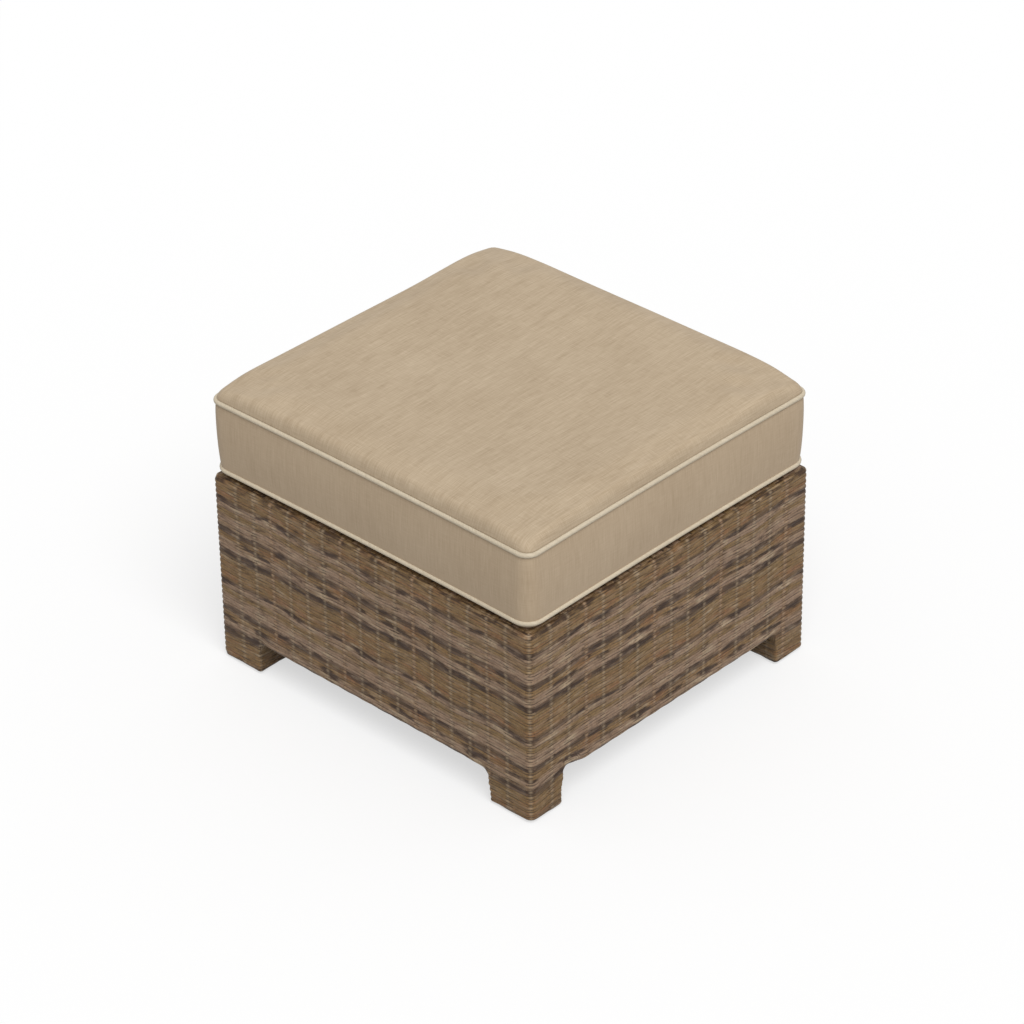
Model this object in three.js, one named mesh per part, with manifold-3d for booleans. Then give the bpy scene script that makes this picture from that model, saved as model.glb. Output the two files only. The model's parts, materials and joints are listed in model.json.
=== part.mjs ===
// Outdoor ottoman footstool: a woven base on four square feet, with a loose piped box cushion.
// Millimetres, +Z up. The origin is on the floor under the middle of the footstool.
// The front faces -Y. The zip of the cushion is on the back, at +Y.

import * as THREE from 'three';
import { mergeVertices } from 'three/addons/utils/BufferGeometryUtils.js';
import Module from 'manifold-3d';

const wasm = await Module();
wasm.setup();

// Whole footstool
const baseWidth = 635;
const baseDepth = 600;
const rimHeight = 320;
const fitGap = 0.3;
const cutOverrun = 5;

// Woven skin
const weaveThickness = 8;
const cornerRadius = 12;
const rimRadius = 7.5;
const apronHeight = 54;
const footWidth = 83;
const footDepth = 67;
const footLift = 2;
const roundingSteps = 4;

// Welded frame of square tube
const tubeWall = 1.5;
const legTube = 25;
const topRailTube = 25;
const lowRailTube = 20;
const uprightTube = 15;
const deckBarTube = 20;
const deckBarCount = 3;
const footBandThickness = 3;
const footBandHeight = 20;

// Glide, tube plug and screw at each foot
const glideRadius = 10;
const glideHeight = 6;
const glideChamfer = 1;
const glideSeatDepth = 3.4;
const plugFlange = 2;
const plugStem = 16;
const screwRadius = 2;
const screwLength = 16;
const screwHeadRadius = 4;
const screwHeadHeight = 2.4;
const screwTip = 2;
const screwRecessRadius = 1.6;
const screwRecessDepth = 1.5;
const roundSides = 16;

// Cushion cover
const cushionInset = 4;
const cushionCornerRadius = 24;
const cornerSteps = 4;
const sideDrawIn = 3;
const lowSeamHeight = 13;
const seamSpacing = 113;
const pipingRadius = 2.75;
const pipingSides = 8;
const fabricThickness = 1.2;
const edgeRise = 25;
const edgeBand = 14;
const crownRise = 5;
const boxingInset = 2.2;
const boxingSwell = 4.7;
// Places along a side of the seam: straight between the inner ones, drawn in from the corners
const sideShares = [-1, -0.85, -0.3, 0.3, 0.85, 1];
const straightShare = 0.85;
// Places up the boxing, with how far out it swells there
const boxingHeightShares = [0, 0.15, 0.35, 0.65, 0.85, 1];
const boxingSwellShares = [0, 0.7, 1, 1, 0.7, 0];
// Places inward over the rolled edge, then over the crown
const edgeShares = [0, 0.12, 0.35, 0.65, 1];
const crownShares = [0.12, 0.3, 0.6, 1];

// Cushion filling
const foamInset = 4;
const foamHeight = 114;
const lowFibreThickness = 10;
const fibreSlack = 0.9;
const foamGrooveDepth = 3;

// Zip in the back of the cushion
const zipCornerGap = 60;
const zipSlot = 10;
const zipTapeThickness = 1;
const zipTapeWidth = 13;
const zipToothGap = 1.4;
const zipToothWidth = 2.5;
const zipToothStand = 1.2;
const zipEndStop = 15;
const sliderLength = 12;
const sliderWidth = 8;
const sliderPlate = 1.2;
const sliderPost = 0.8;
const bridgeLength = 6.8;
const bridgeHeight = 3.2;
const bridgeThickness = 1;
const bridgeWidth = 1.6;
const pullPivotLift = 0.95;
const pullLength = 30;
const pullWidth = 6;
const pullThickness = 1.2;
const pullEyeLength = 4.4;
const pullEyeWidth = 3;
const pullHoleRadius = 1.6;

const quarterTurn = Math.PI / 2;

// Materials

function finish(color, roughness, metalness) {
  return new THREE.MeshStandardMaterial({ color, roughness, metalness });
}

const frameFinish = () => finish(0x4a3b2e, 0.5, 0.6);
const wickerFinish = () => finish(0x73624f, 0.55, 0);
const glideFinish = () => finish(0x2a241f, 0.6, 0);
const screwFinish = () => finish(0xb4b2ae, 0.35, 1);
const fabricFinish = () => finish(0xbaa88e, 0.9, 0);
const pipingFinish = () => finish(0xcdc3aa, 0.9, 0);
const foamFinish = () => finish(0xe6dcc0, 0.95, 0);
const fibreFinish = () => finish(0xf0eee8, 0.95, 0);
const tapeFinish = () => finish(0xa59478, 0.8, 0);
const zipMetalFinish = () => finish(0x8f7f66, 0.4, 0.8);

// Shapes and solids

function named(name, geometry, material) {
  const mesh = new THREE.Mesh(geometry, material);
  mesh.name = name;
  return mesh;
}

function toSolid(geometry) {
  const bare = geometry.clone();
  bare.deleteAttribute('normal');
  bare.deleteAttribute('uv');
  const merged = mergeVertices(bare);
  return new wasm.Manifold(new wasm.Mesh({
    numProp: 3,
    vertProperties: merged.attributes.position.array,
    triVerts: merged.index.array,
  }));
}

function toGeometry(solid) {
  const mesh = solid.getMesh();
  const geometry = new THREE.BufferGeometry();
  geometry.setAttribute('position', new THREE.BufferAttribute(mesh.vertProperties, 3));
  geometry.setIndex(new THREE.BufferAttribute(mesh.triVerts, 1));
  geometry.computeVertexNormals();
  return geometry;
}

// A block between two opposite corners, given in any order
function block(cornerA, cornerB) {
  const a = new THREE.Vector3(...cornerA);
  const b = new THREE.Vector3(...cornerB);
  const size = new THREE.Vector3().subVectors(b, a);
  const middle = new THREE.Vector3().addVectors(a, b).divideScalar(2);
  return new THREE.BoxGeometry(Math.abs(size.x), Math.abs(size.y), Math.abs(size.z))
    .translate(middle.x, middle.y, middle.z);
}

function polygon(points) {
  return new THREE.Shape(points.map(([x, y]) => new THREE.Vector2(x, y)));
}

function rectangle(sizeX, sizeY) {
  return polygon([
    [-sizeX / 2, -sizeY / 2],
    [sizeX / 2, -sizeY / 2],
    [sizeX / 2, sizeY / 2],
    [-sizeX / 2, sizeY / 2],
  ]);
}

function roundedRectangle(sizeX, sizeY, radius) {
  const x = sizeX / 2 - radius;
  const y = sizeY / 2 - radius;
  const shape = new THREE.Shape();
  shape.absarc(x, y, radius, 0, quarterTurn);
  shape.absarc(-x, y, radius, quarterTurn, 2 * quarterTurn);
  shape.absarc(-x, -y, radius, 2 * quarterTurn, 3 * quarterTurn);
  shape.absarc(x, -y, radius, 3 * quarterTurn, 4 * quarterTurn);
  return shape;
}

function extrude(shape, depth, options = {}) {
  return new THREE.ExtrudeGeometry(shape, {
    depth,
    bevelEnabled: false,
    curveSegments: roundingSteps,
    ...options,
  });
}

// An outline drawn in Y and Z, extruded along X and centred on it
function alongX(shape, length) {
  const turn = new THREE.Matrix4().makeBasis(
    new THREE.Vector3(0, 1, 0),
    new THREE.Vector3(0, 0, 1),
    new THREE.Vector3(1, 0, 0),
  );
  return extrude(shape, length).applyMatrix4(turn).translate(-length / 2, 0, 0);
}

// An outline drawn in X and Z, extruded along Y and centred on it
function alongY(shape, length) {
  return extrude(shape, length).rotateX(quarterTurn).translate(0, length / 2, 0);
}

// Frame

const skinDepth = weaveThickness + fitGap;
const frameTop = rimHeight - skinDepth;
const glideTop = glideHeight + fitGap;
const legFoot = glideTop + plugFlange + fitGap;
const legX = baseWidth / 2 - skinDepth - legTube / 2;
const legY = baseDepth / 2 - skinDepth - legTube / 2;
const lowRailFoot = apronHeight + skinDepth;
const corners = [
  ['front_left', -1, -1],
  ['front_right', 1, -1],
  ['back_left', -1, 1],
  ['back_right', 1, 1],
];
// Each side of the base: its name, turn about Z, half length along it, and distance of its face
const sides = [
  ['front', 0, baseWidth / 2, baseDepth / 2, footWidth],
  ['right', quarterTurn, baseDepth / 2, baseWidth / 2, footDepth],
  ['back', 2 * quarterTurn, baseWidth / 2, baseDepth / 2, footWidth],
  ['left', 3 * quarterTurn, baseDepth / 2, baseWidth / 2, footDepth],
];

function squareTube(size, length) {
  const outline = rectangle(size, size);
  const inside = size - 2 * tubeWall;
  outline.holes.push(rectangle(inside, inside));
  return extrude(outline, length);
}

// A bent flat band that gives the foot its square shape, with both ends welded to the leg.
// Its outline is drawn in distances inward from the two outer faces of the corner.
function footBand(sideX, sideY) {
  const near = skinDepth;
  const weld = skinDepth + legTube - tubeWall / 2;
  const farX = footWidth - skinDepth;
  const farY = footDepth - skinDepth;
  const t = footBandThickness;
  const outline = [
    [weld, near], [farX, near], [farX, farY], [near, farY], [near, weld],
    [near + t, weld], [near + t, farY - t], [farX - t, farY - t], [farX - t, near + t], [weld, near + t],
  ];
  const points = outline.map(([inX, inY]) => [
    sideX * (baseWidth / 2 - legX - inX),
    sideY * (baseDepth / 2 - legY - inY),
  ]);
  return extrude(polygon(points), footBandHeight);
}

function legs() {
  return corners.map(([corner, sideX, sideY]) => {
    const tube = toSolid(squareTube(legTube, frameTop - legFoot));
    const band = toSolid(footBand(sideX, sideY));
    const leg = named(`leg_${corner}`, toGeometry(tube.add(band)), frameFinish());
    leg.position.set(sideX * legX, sideY * legY, legFoot);
    return leg;
  });
}

// A tube lying along one side, inside the woven skin
function sideTube(name, size, length, faceDistance, foot) {
  const tube = named(name, squareTube(size, length).rotateY(quarterTurn), frameFinish());
  tube.position.set(-length / 2, -(faceDistance - skinDepth - size / 2), foot + size / 2);
  return tube;
}

function sideFrame([side, turn, halfLength, faceDistance]) {
  const group = new THREE.Group();
  group.rotation.z = turn;
  const railLength = 2 * (halfLength - skinDepth - legTube - fitGap);
  const topRailFoot = frameTop - topRailTube;
  group.add(sideTube(`top_rail_${side}`, topRailTube, railLength, faceDistance, topRailFoot));
  group.add(sideTube(`low_rail_${side}`, lowRailTube, railLength, faceDistance, lowRailFoot));
  const uprightFoot = lowRailFoot + lowRailTube + fitGap;
  const upright = named(
    `upright_${side}`,
    squareTube(uprightTube, topRailFoot - fitGap - uprightFoot),
    frameFinish(),
  );
  upright.position.set(0, -(faceDistance - skinDepth - uprightTube / 2), uprightFoot);
  group.add(upright);
  return group;
}

function deckBars() {
  const length = 2 * (baseDepth / 2 - skinDepth - topRailTube - fitGap);
  const spacing = (baseWidth - 2 * skinDepth) / (deckBarCount + 1);
  return Array.from({ length: deckBarCount }, (_, i) => {
    const tube = squareTube(deckBarTube, length).rotateX(quarterTurn);
    const bar = named(`deck_bar_${i + 1}`, tube, frameFinish());
    const place = (i - (deckBarCount - 1) / 2) * spacing;
    bar.position.set(place, length / 2, frameTop - deckBarTube / 2);
    return bar;
  });
}

// Woven skin

// The outer form of the whole base, rounded at its corners, rim and feet
function baseForm() {
  const height = rimHeight - footLift - 2 * rimRadius;
  return extrude(roundedRectangle(baseWidth, baseDepth, cornerRadius), height, {
    bevelEnabled: true,
    bevelThickness: rimRadius,
    bevelSize: rimRadius,
    bevelOffset: -rimRadius,
    bevelSegments: roundingSteps,
  }).translate(0, 0, footLift + rimRadius);
}

// Two walls that meet at the corner, from the foot up to the rim
function wovenCorners() {
  const form = toSolid(baseForm());
  const outerX = baseWidth / 2;
  const outerY = baseDepth / 2;
  return corners.map(([corner, sideX, sideY]) => {
    const region = toSolid(block(
      [sideX * (outerX - footWidth), sideY * (outerY - footDepth), 0],
      [sideX * (outerX + cutOverrun), sideY * (outerY + cutOverrun), rimHeight + cutOverrun],
    ));
    const inside = toSolid(block(
      [0, 0, -cutOverrun],
      [sideX * (outerX - weaveThickness), sideY * (outerY - weaveThickness), rimHeight + cutOverrun],
    ));
    const walls = form.intersect(region).subtract(inside);
    return named(`woven_corner_${corner}`, toGeometry(walls), wickerFinish());
  });
}

// The two inner walls of each square foot, under the apron
function footLinings() {
  const t = weaveThickness;
  const near = weaveThickness + fitGap;
  const outline = [
    [footWidth, near], [footWidth, footDepth], [near, footDepth],
    [near, footDepth - t], [footWidth - t, footDepth - t], [footWidth - t, near],
  ];
  return corners.map(([corner, sideX, sideY]) => {
    const points = outline.map(([inX, inY]) => [
      sideX * (baseWidth / 2 - inX),
      sideY * (baseDepth / 2 - inY),
    ]);
    const height = apronHeight - fitGap - footLift;
    const lining = named(`foot_lining_${corner}`, extrude(polygon(points), height), wickerFinish());
    lining.position.z = footLift;
    return lining;
  });
}

// The wall between two corners, rounded at its rim and apron, with a lip turned in under the low rail
function wovenSide([side, turn, halfLength, faceDistance, footLength]) {
  const lipDepth = skinDepth + lowRailTube;
  const lipTop = apronHeight + weaveThickness;
  const section = new THREE.Shape();
  section.moveTo(rimRadius, apronHeight);
  section.lineTo(lipDepth, apronHeight);
  section.lineTo(lipDepth, lipTop);
  section.lineTo(weaveThickness, lipTop);
  section.lineTo(weaveThickness, rimHeight);
  section.lineTo(rimRadius, rimHeight);
  section.absarc(rimRadius, rimHeight - rimRadius, rimRadius, quarterTurn, 2 * quarterTurn);
  section.absarc(rimRadius, apronHeight + rimRadius, rimRadius, 2 * quarterTurn, 3 * quarterTurn);
  section.closePath();
  const wall = alongX(section, 2 * (halfLength - footLength - fitGap));
  const mesh = named(`woven_side_${side}`, wall, wickerFinish());
  mesh.position.y = -faceDistance;
  const group = new THREE.Group();
  group.rotation.z = turn;
  group.add(mesh);
  return group;
}

function wovenDeck() {
  const deck = new THREE.BoxGeometry(
    baseWidth - 2 * skinDepth,
    baseDepth - 2 * skinDepth,
    weaveThickness,
  );
  const mesh = named('woven_deck', deck, wickerFinish());
  mesh.position.z = rimHeight - weaveThickness / 2;
  return mesh;
}

// Feet

function turned(profile) {
  const points = profile.map(([radius, height]) => new THREE.Vector2(radius, height));
  return new THREE.LatheGeometry(points, roundSides).rotateX(quarterTurn);
}

function tubePlug() {
  const boreRadius = screwRadius + fitGap;
  const square = (size) => {
    const outline = rectangle(size, size);
    const bore = new THREE.Path();
    bore.absarc(0, 0, boreRadius, 0, 4 * quarterTurn, true);
    outline.holes.push(bore);
    return outline;
  };
  const stemSize = legTube - 2 * tubeWall - 2 * fitGap;
  const flange = toSolid(extrude(square(legTube), plugFlange));
  const stem = toSolid(extrude(square(stemSize), plugFlange + plugStem));
  return toGeometry(flange.add(stem));
}

function glide() {
  const bore = screwRadius + fitGap;
  const seat = screwHeadRadius + fitGap;
  return turned([
    [bore, glideSeatDepth],
    [seat, glideSeatDepth],
    [seat, 0],
    [glideRadius - glideChamfer, 0],
    [glideRadius, glideChamfer],
    [glideRadius, glideHeight],
    [bore, glideHeight],
    [bore, glideSeatDepth],
  ]);
}

// The screw stands head down in the seat of the glide
function glideScrew() {
  const headTop = glideSeatDepth - fitGap;
  const headFoot = headTop - screwHeadHeight;
  return turned([
    [0, headFoot + screwRecessDepth],
    [screwRecessRadius, headFoot],
    [screwHeadRadius, headFoot],
    [screwHeadRadius, headTop],
    [screwRadius, headTop],
    [screwRadius, headTop + screwLength - screwTip],
    [0, headTop + screwLength],
  ]);
}

function feet() {
  const group = new THREE.Group();
  for (const [corner, sideX, sideY] of corners) {
    const foot = new THREE.Group();
    foot.position.set(sideX * legX, sideY * legY, 0);
    const plug = named(`tube_plug_${corner}`, tubePlug(), glideFinish());
    plug.position.z = glideTop;
    foot.add(plug);
    foot.add(named(`glide_${corner}`, glide(), glideFinish()));
    foot.add(named(`glide_screw_${corner}`, glideScrew(), screwFinish()));
    group.add(foot);
  }
  return group;
}

// Cushion, drawn with its own zero height at the rim that it rests on

const highSeamHeight = lowSeamHeight + seamSpacing;
const panelEdge = pipingRadius + fitGap;
const seamToMiddle = baseDepth / 2 - cushionInset;
const foamFoot = fitGap + fabricThickness + fibreSlack + lowFibreThickness + fitGap;
const foamTop = foamFoot + foamHeight;

// Points once round the seam, each with its outward direction, anticlockwise from the front left
function seamStations() {
  const halves = [baseWidth / 2 - cushionInset, baseDepth / 2 - cushionInset];
  const stations = [];
  for (let side = 0; side < 4; side += 1) {
    const along = new THREE.Vector2(1, 0).rotateAround(new THREE.Vector2(), side * quarterTurn);
    const out = new THREE.Vector2(0, -1).rotateAround(new THREE.Vector2(), side * quarterTurn);
    const straight = halves[side % 2] - cushionCornerRadius;
    const face = halves[(side + 1) % 2];
    for (const share of sideShares) {
      const drawn = sideDrawIn * Math.min(1, (1 - Math.abs(share)) / (1 - straightShare));
      const point = new THREE.Vector2()
        .addScaledVector(along, share * straight)
        .addScaledVector(out, face - drawn);
      stations.push({ point, normal: out.clone() });
    }
    for (let step = 1; step < cornerSteps; step += 1) {
      const angle = quarterTurn * step / cornerSteps;
      const normal = new THREE.Vector2()
        .addScaledVector(out, Math.cos(angle))
        .addScaledVector(along, Math.sin(angle));
      const point = new THREE.Vector2()
        .addScaledVector(along, straight)
        .addScaledVector(out, face - cushionCornerRadius)
        .addScaledVector(normal, cushionCornerRadius);
      stations.push({ point, normal });
    }
  }
  return stations;
}

const stations = seamStations();

// The point that lies a distance inward from a seam station, towards the middle of the cushion
function inwardPoint(station, inward) {
  const banded = Math.min(inward, edgeBand);
  const point = station.point.clone().addScaledVector(station.normal, -banded);
  return point.multiplyScalar(1 - (inward - banded) / (seamToMiddle - edgeBand));
}

// How far the crown has risen over a point of the cushion, from 0 at its sides to crownRise
function crownAt(point) {
  const acrossX = point.x / (baseWidth / 2 - cushionInset);
  const acrossY = point.y / (baseDepth / 2 - cushionInset);
  return crownRise * (1 - acrossX ** 2) * (1 - acrossY ** 2);
}

// A form turned round the cushion. Each row of its profile is a distance inward from the seam, a height,
// and true where the crown lifts that row.
function roundSeam(profile) {
  const points = profile.map(([inward, height]) => new THREE.Vector2(seamToMiddle - inward, height));
  const form = new THREE.LatheGeometry(points, stations.length);
  const position = form.attributes.position;
  for (let turn = 0; turn <= stations.length; turn += 1) {
    const station = stations[turn % stations.length];
    profile.forEach(([inward, height, crowned], row) => {
      const point = inwardPoint(station, inward);
      const lift = crowned ? crownAt(point) : 0;
      position.setXYZ(turn * profile.length + row, point.x, point.y, height + lift);
    });
  }
  form.computeVertexNormals();
  return form;
}

// How far a rolled edge has turned over at a distance inward, from 0 at its seam to 1
function rolled(inward) {
  const share = Math.min(1, (inward - panelEdge) / (edgeBand - panelEdge));
  return Math.sqrt(1 - (1 - share) ** 2);
}

// The cover's outer surfaces, over and under
const overside = (inward) => [inward, highSeamHeight + edgeRise * rolled(inward), true];
const underside = (inward) => [inward, lowSeamHeight - (lowSeamHeight - fitGap) * rolled(inward), false];
const flatAt = (height) => (inward) => [inward, height, false];

function moved(surface, lift) {
  return (inward) => {
    const [place, height, crowned] = surface(inward);
    return [place, height + lift, crowned];
  };
}

const edgeStations = edgeShares.map((share) => panelEdge + share * (edgeBand - panelEdge));
const crownStations = crownShares.map((share) => edgeBand + share * (seamToMiddle - edgeBand));

// The profile of a layer between two surfaces, from the middle out and back again
function layer(places, lowSurface, highSurface) {
  return [...places.map(lowSurface).reverse(), ...places.map(highSurface)];
}

function topPanel() {
  const places = [...edgeStations, ...crownStations];
  const profile = layer(places, moved(overside, -fabricThickness), overside);
  return named('top_panel', roundSeam(profile), fabricFinish());
}

function bottomPanel() {
  const places = [...edgeStations, seamToMiddle];
  const profile = layer(places, underside, moved(underside, fabricThickness));
  return named('bottom_panel', roundSeam(profile), fabricFinish());
}

function fibreLayers() {
  const coverDepth = fabricThickness + fibreSlack;
  const filledEdge = edgeStations.slice(1);
  const upper = layer(
    [...filledEdge, ...crownStations],
    flatAt(foamTop + fitGap),
    moved(overside, -coverDepth),
  );
  const lower = layer(
    [...filledEdge, seamToMiddle],
    moved(underside, coverDepth),
    flatAt(foamFoot - fitGap),
  );
  return [
    named('fibre_over_foam', roundSeam(upper), fibreFinish()),
    named('fibre_under_foam', roundSeam(lower), fibreFinish()),
  ];
}

const zipHeight = lowSeamHeight + seamSpacing / 2;
const zipPanelLength = baseWidth - 2 * (cushionInset + cushionCornerRadius + zipCornerGap);
const boxingFace = baseDepth / 2 - cushionInset - sideDrawIn - (boxingInset - boxingSwell);
const zipTapeFace = boxingFace - fabricThickness - fitGap;

function foamCore() {
  const places = [foamInset, seamToMiddle];
  const foam = toSolid(roundSeam(layer(places, flatAt(foamFoot), flatAt(foamTop))));
  const grooveHalf = zipTapeWidth + fitGap;
  const grooveFloor = zipTapeFace - zipTapeThickness - foamGrooveDepth;
  const groove = toSolid(block(
    [-zipPanelLength / 2, grooveFloor, zipHeight - grooveHalf],
    [zipPanelLength / 2, baseDepth / 2 + cutOverrun, zipHeight + grooveHalf],
  ));
  return named('foam_core', toGeometry(foam.subtract(groove)), foamFinish());
}

// The boxing runs round the cushion, and a zip panel above and below the zip fills its back
function boxing() {
  const foot = lowSeamHeight + panelEdge;
  const height = seamSpacing - 2 * panelEdge;
  const outer = boxingHeightShares.map((share, i) => [
    boxingInset - boxingSwell * boxingSwellShares[i],
    foot + share * height,
  ]);
  const inner = outer.map(([inward, level]) => [inward + fabricThickness, level]).reverse();
  const ring = toSolid(roundSeam([...outer, ...inner, outer[0]]));
  const zipSpan = (halfLength, low, high) => toSolid(block(
    [-halfLength, 0, low],
    [halfLength, baseDepth / 2 + cutOverrun, high],
  ));
  const half = zipPanelLength / 2;
  const below = foot - cutOverrun;
  const above = foot + height + cutOverrun;
  const pieces = {
    boxing_strip: ring.subtract(zipSpan(half + fitGap, below, above)),
    zip_panel_upper: ring.intersect(zipSpan(half, zipHeight + zipSlot / 2, above)),
    zip_panel_lower: ring.intersect(zipSpan(half, below, zipHeight - zipSlot / 2)),
  };
  return Object.entries(pieces).map(([name, solid]) => named(name, toGeometry(solid), fabricFinish()));
}

function piping(name, seamHeight) {
  const profile = [];
  for (let side = 0; side <= pipingSides; side += 1) {
    const angle = 4 * quarterTurn * (side % pipingSides) / pipingSides;
    profile.push([-pipingRadius * Math.cos(angle), seamHeight + pipingRadius * Math.sin(angle)]);
  }
  return named(name, roundSeam(profile), pipingFinish());
}

// Zip, drawn round the middle of its teeth with zero Y at the outer face of its tapes

function zipTape(name, side) {
  const nearEdge = zipToothGap / 2;
  const outline = [
    [-zipTapeThickness, nearEdge],
    [zipToothStand, nearEdge],
    [zipToothStand, nearEdge + zipToothWidth],
    [0, nearEdge + zipToothWidth],
    [0, zipTapeWidth],
    [-zipTapeThickness, zipTapeWidth],
  ];
  const shape = polygon(outline.map(([y, z]) => [y, side * z]));
  return named(name, alongX(shape, zipPanelLength - 2 * fitGap), tapeFinish());
}

const plateFoot = zipToothStand + fitGap;
const plateFace = plateFoot + sliderPlate;

function zipSlider() {
  const plateHalf = sliderWidth / 2;
  const postHalf = sliderPost / 2;
  const innerFace = -zipTapeThickness - fitGap;
  const half = [
    [plateFace, plateHalf],
    [plateFoot, plateHalf],
    [plateFoot, postHalf],
    [innerFace, postHalf],
    [innerFace, plateHalf],
    [innerFace - sliderPlate, plateHalf],
  ];
  const mirrored = half.map(([y, z]) => [y, -z]).reverse();
  const body = toSolid(alongX(polygon([...half, ...mirrored]), sliderLength));
  const reach = bridgeLength / 2;
  const rooted = plateFace - sliderPlate / 2;
  const top = plateFace + bridgeHeight;
  const bridge = polygon([
    [-reach, rooted], [-reach, top], [reach, top], [reach, rooted],
    [reach - bridgeThickness, rooted], [reach - bridgeThickness, top - bridgeThickness],
    [-reach + bridgeThickness, top - bridgeThickness], [-reach + bridgeThickness, rooted],
  ]);
  const arch = toSolid(extrude(bridge, bridgeWidth).translate(0, 0, -bridgeWidth / 2));
  return named('zip_slider', toGeometry(body.add(arch)), zipMetalFinish());
}

// The pull lies flat along -X at rest, and its end bar is caught under the bridge
function zipPull() {
  const bar = pullThickness / 2;
  const halfWidth = pullWidth / 2;
  const outline = new THREE.Shape();
  outline.moveTo(bar, -halfWidth);
  outline.lineTo(bar, halfWidth);
  outline.lineTo(-pullLength + halfWidth, halfWidth);
  outline.absarc(-pullLength + halfWidth, 0, halfWidth, quarterTurn, 3 * quarterTurn);
  outline.closePath();
  const eyeHalf = pullEyeWidth / 2;
  outline.holes.push(polygon([
    [-bar, -eyeHalf], [-bar - pullEyeLength, -eyeHalf], [-bar - pullEyeLength, eyeHalf], [-bar, eyeHalf],
  ]));
  const hole = new THREE.Path();
  hole.absarc(-pullLength + halfWidth, 0, pullHoleRadius, 0, 4 * quarterTurn);
  outline.holes.push(hole);
  const mesh = named('zip_pull', alongY(outline, pullThickness), zipMetalFinish());
  mesh.position.y = plateFace + pullPivotLift;
  return mesh;
}

function zip() {
  const group = new THREE.Group();
  group.position.set(0, zipTapeFace, zipHeight);
  group.add(zipTape('zip_tape_upper', 1));
  group.add(zipTape('zip_tape_lower', -1));
  const slider = new THREE.Group();
  slider.position.x = -(zipPanelLength / 2 - zipEndStop);
  slider.add(zipSlider());
  slider.add(zipPull());
  group.add(slider);
  return group;
}

function cushion() {
  const group = new THREE.Group();
  group.position.z = rimHeight;
  group.add(foamCore());
  group.add(...fibreLayers());
  group.add(topPanel());
  group.add(bottomPanel());
  group.add(...boxing());
  group.add(piping('piping_top', highSeamHeight));
  group.add(piping('piping_bottom', lowSeamHeight));
  group.add(zip());
  return group;
}

const footstool = new THREE.Group();
footstool.add(...legs());
footstool.add(...sides.map(sideFrame));
footstool.add(...deckBars());
footstool.add(...wovenCorners());
footstool.add(...footLinings());
footstool.add(...sides.map(wovenSide));
footstool.add(wovenDeck());
footstool.add(feet());
footstool.add(cushion());

export default footstool;
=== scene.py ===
import json
import math

import bmesh
import bpy
import numpy as np
from mathutils import Matrix, Vector


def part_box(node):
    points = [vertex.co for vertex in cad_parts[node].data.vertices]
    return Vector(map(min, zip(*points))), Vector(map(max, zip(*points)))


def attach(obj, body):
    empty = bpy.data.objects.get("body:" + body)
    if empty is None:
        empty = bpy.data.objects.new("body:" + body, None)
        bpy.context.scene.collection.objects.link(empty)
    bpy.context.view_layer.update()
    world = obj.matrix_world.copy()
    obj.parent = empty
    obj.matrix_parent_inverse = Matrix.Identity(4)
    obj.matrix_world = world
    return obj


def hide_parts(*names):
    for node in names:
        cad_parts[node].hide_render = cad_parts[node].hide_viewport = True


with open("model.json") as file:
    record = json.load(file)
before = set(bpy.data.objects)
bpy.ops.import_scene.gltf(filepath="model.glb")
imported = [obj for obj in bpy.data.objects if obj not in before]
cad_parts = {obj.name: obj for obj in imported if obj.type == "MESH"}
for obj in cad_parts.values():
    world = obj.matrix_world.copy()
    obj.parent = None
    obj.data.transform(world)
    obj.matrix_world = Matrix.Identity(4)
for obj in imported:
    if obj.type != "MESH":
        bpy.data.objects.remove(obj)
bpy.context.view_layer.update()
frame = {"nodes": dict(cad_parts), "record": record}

MM = 0.001
QUARTER = math.pi / 2

# Sizes of the base, taken from the frame
SIDES = ("front", "right", "back", "left")
CORNERS = {"front_left": (-1, -1), "front_right": (1, -1), "back_left": (-1, 1), "back_right": (1, 1)}
corner_low, corner_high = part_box("woven_corner_front_right")
side_low, side_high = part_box("woven_side_front")
half_width = corner_high.x
half_depth = -corner_low.y
rim_top = corner_high.z
foot_bottom = corner_low.z
foot_width = corner_high.x - corner_low.x
foot_depth = corner_high.y - corner_low.y
apron_low = side_low.z
lip_depth = side_high.y - side_low.y

# Sizes of the base that the boxes of its nodes don't give
lining_top = 61.8 * MM
wall = 8 * MM
plan_radius = 12 * MM
rim_radius = 7.5 * MM
notch_radius = 14 * MM
foot_edge_radius = 6 * MM
foot_edge_growth = 24 * MM
sole_radius = 6 * MM

# Sizes of the cushion, taken from the frame
piping_low, piping_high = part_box("piping_top")
low_piping_low, low_piping_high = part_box("piping_bottom")
piping_radius = (piping_high.z - piping_low.z) / 2
seam_half_width = piping_high.x - piping_radius
seam_half_depth = piping_high.y - piping_radius
high_seam = (piping_low.z + piping_high.z) / 2
low_seam = (low_piping_low.z + low_piping_high.z) / 2
cushion_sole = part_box("bottom_panel")[0].z
zip_low, zip_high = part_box("zip_tape_lower"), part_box("zip_tape_upper")
zip_panel_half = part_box("zip_panel_upper")[1].x
slot_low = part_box("zip_panel_lower")[1].z
slot_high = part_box("zip_panel_upper")[0].z


# Meshes
def new_object(name, mesh):
    piece = bpy.data.objects.new(name, mesh)
    bpy.context.scene.collection.objects.link(piece)
    return piece


def new_piece(name, points, faces, finish=None):
    """A smooth-shaded mesh object from points and faces"""
    mesh = bpy.data.meshes.new(name)
    mesh.from_pydata([tuple(p) for p in points], [], faces)
    mesh.polygons.foreach_set("use_smooth", [True] * len(mesh.polygons))
    mesh.update()
    piece = new_object(name, mesh)
    if finish:
        mesh.materials.append(finish.material)
    return piece


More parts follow.
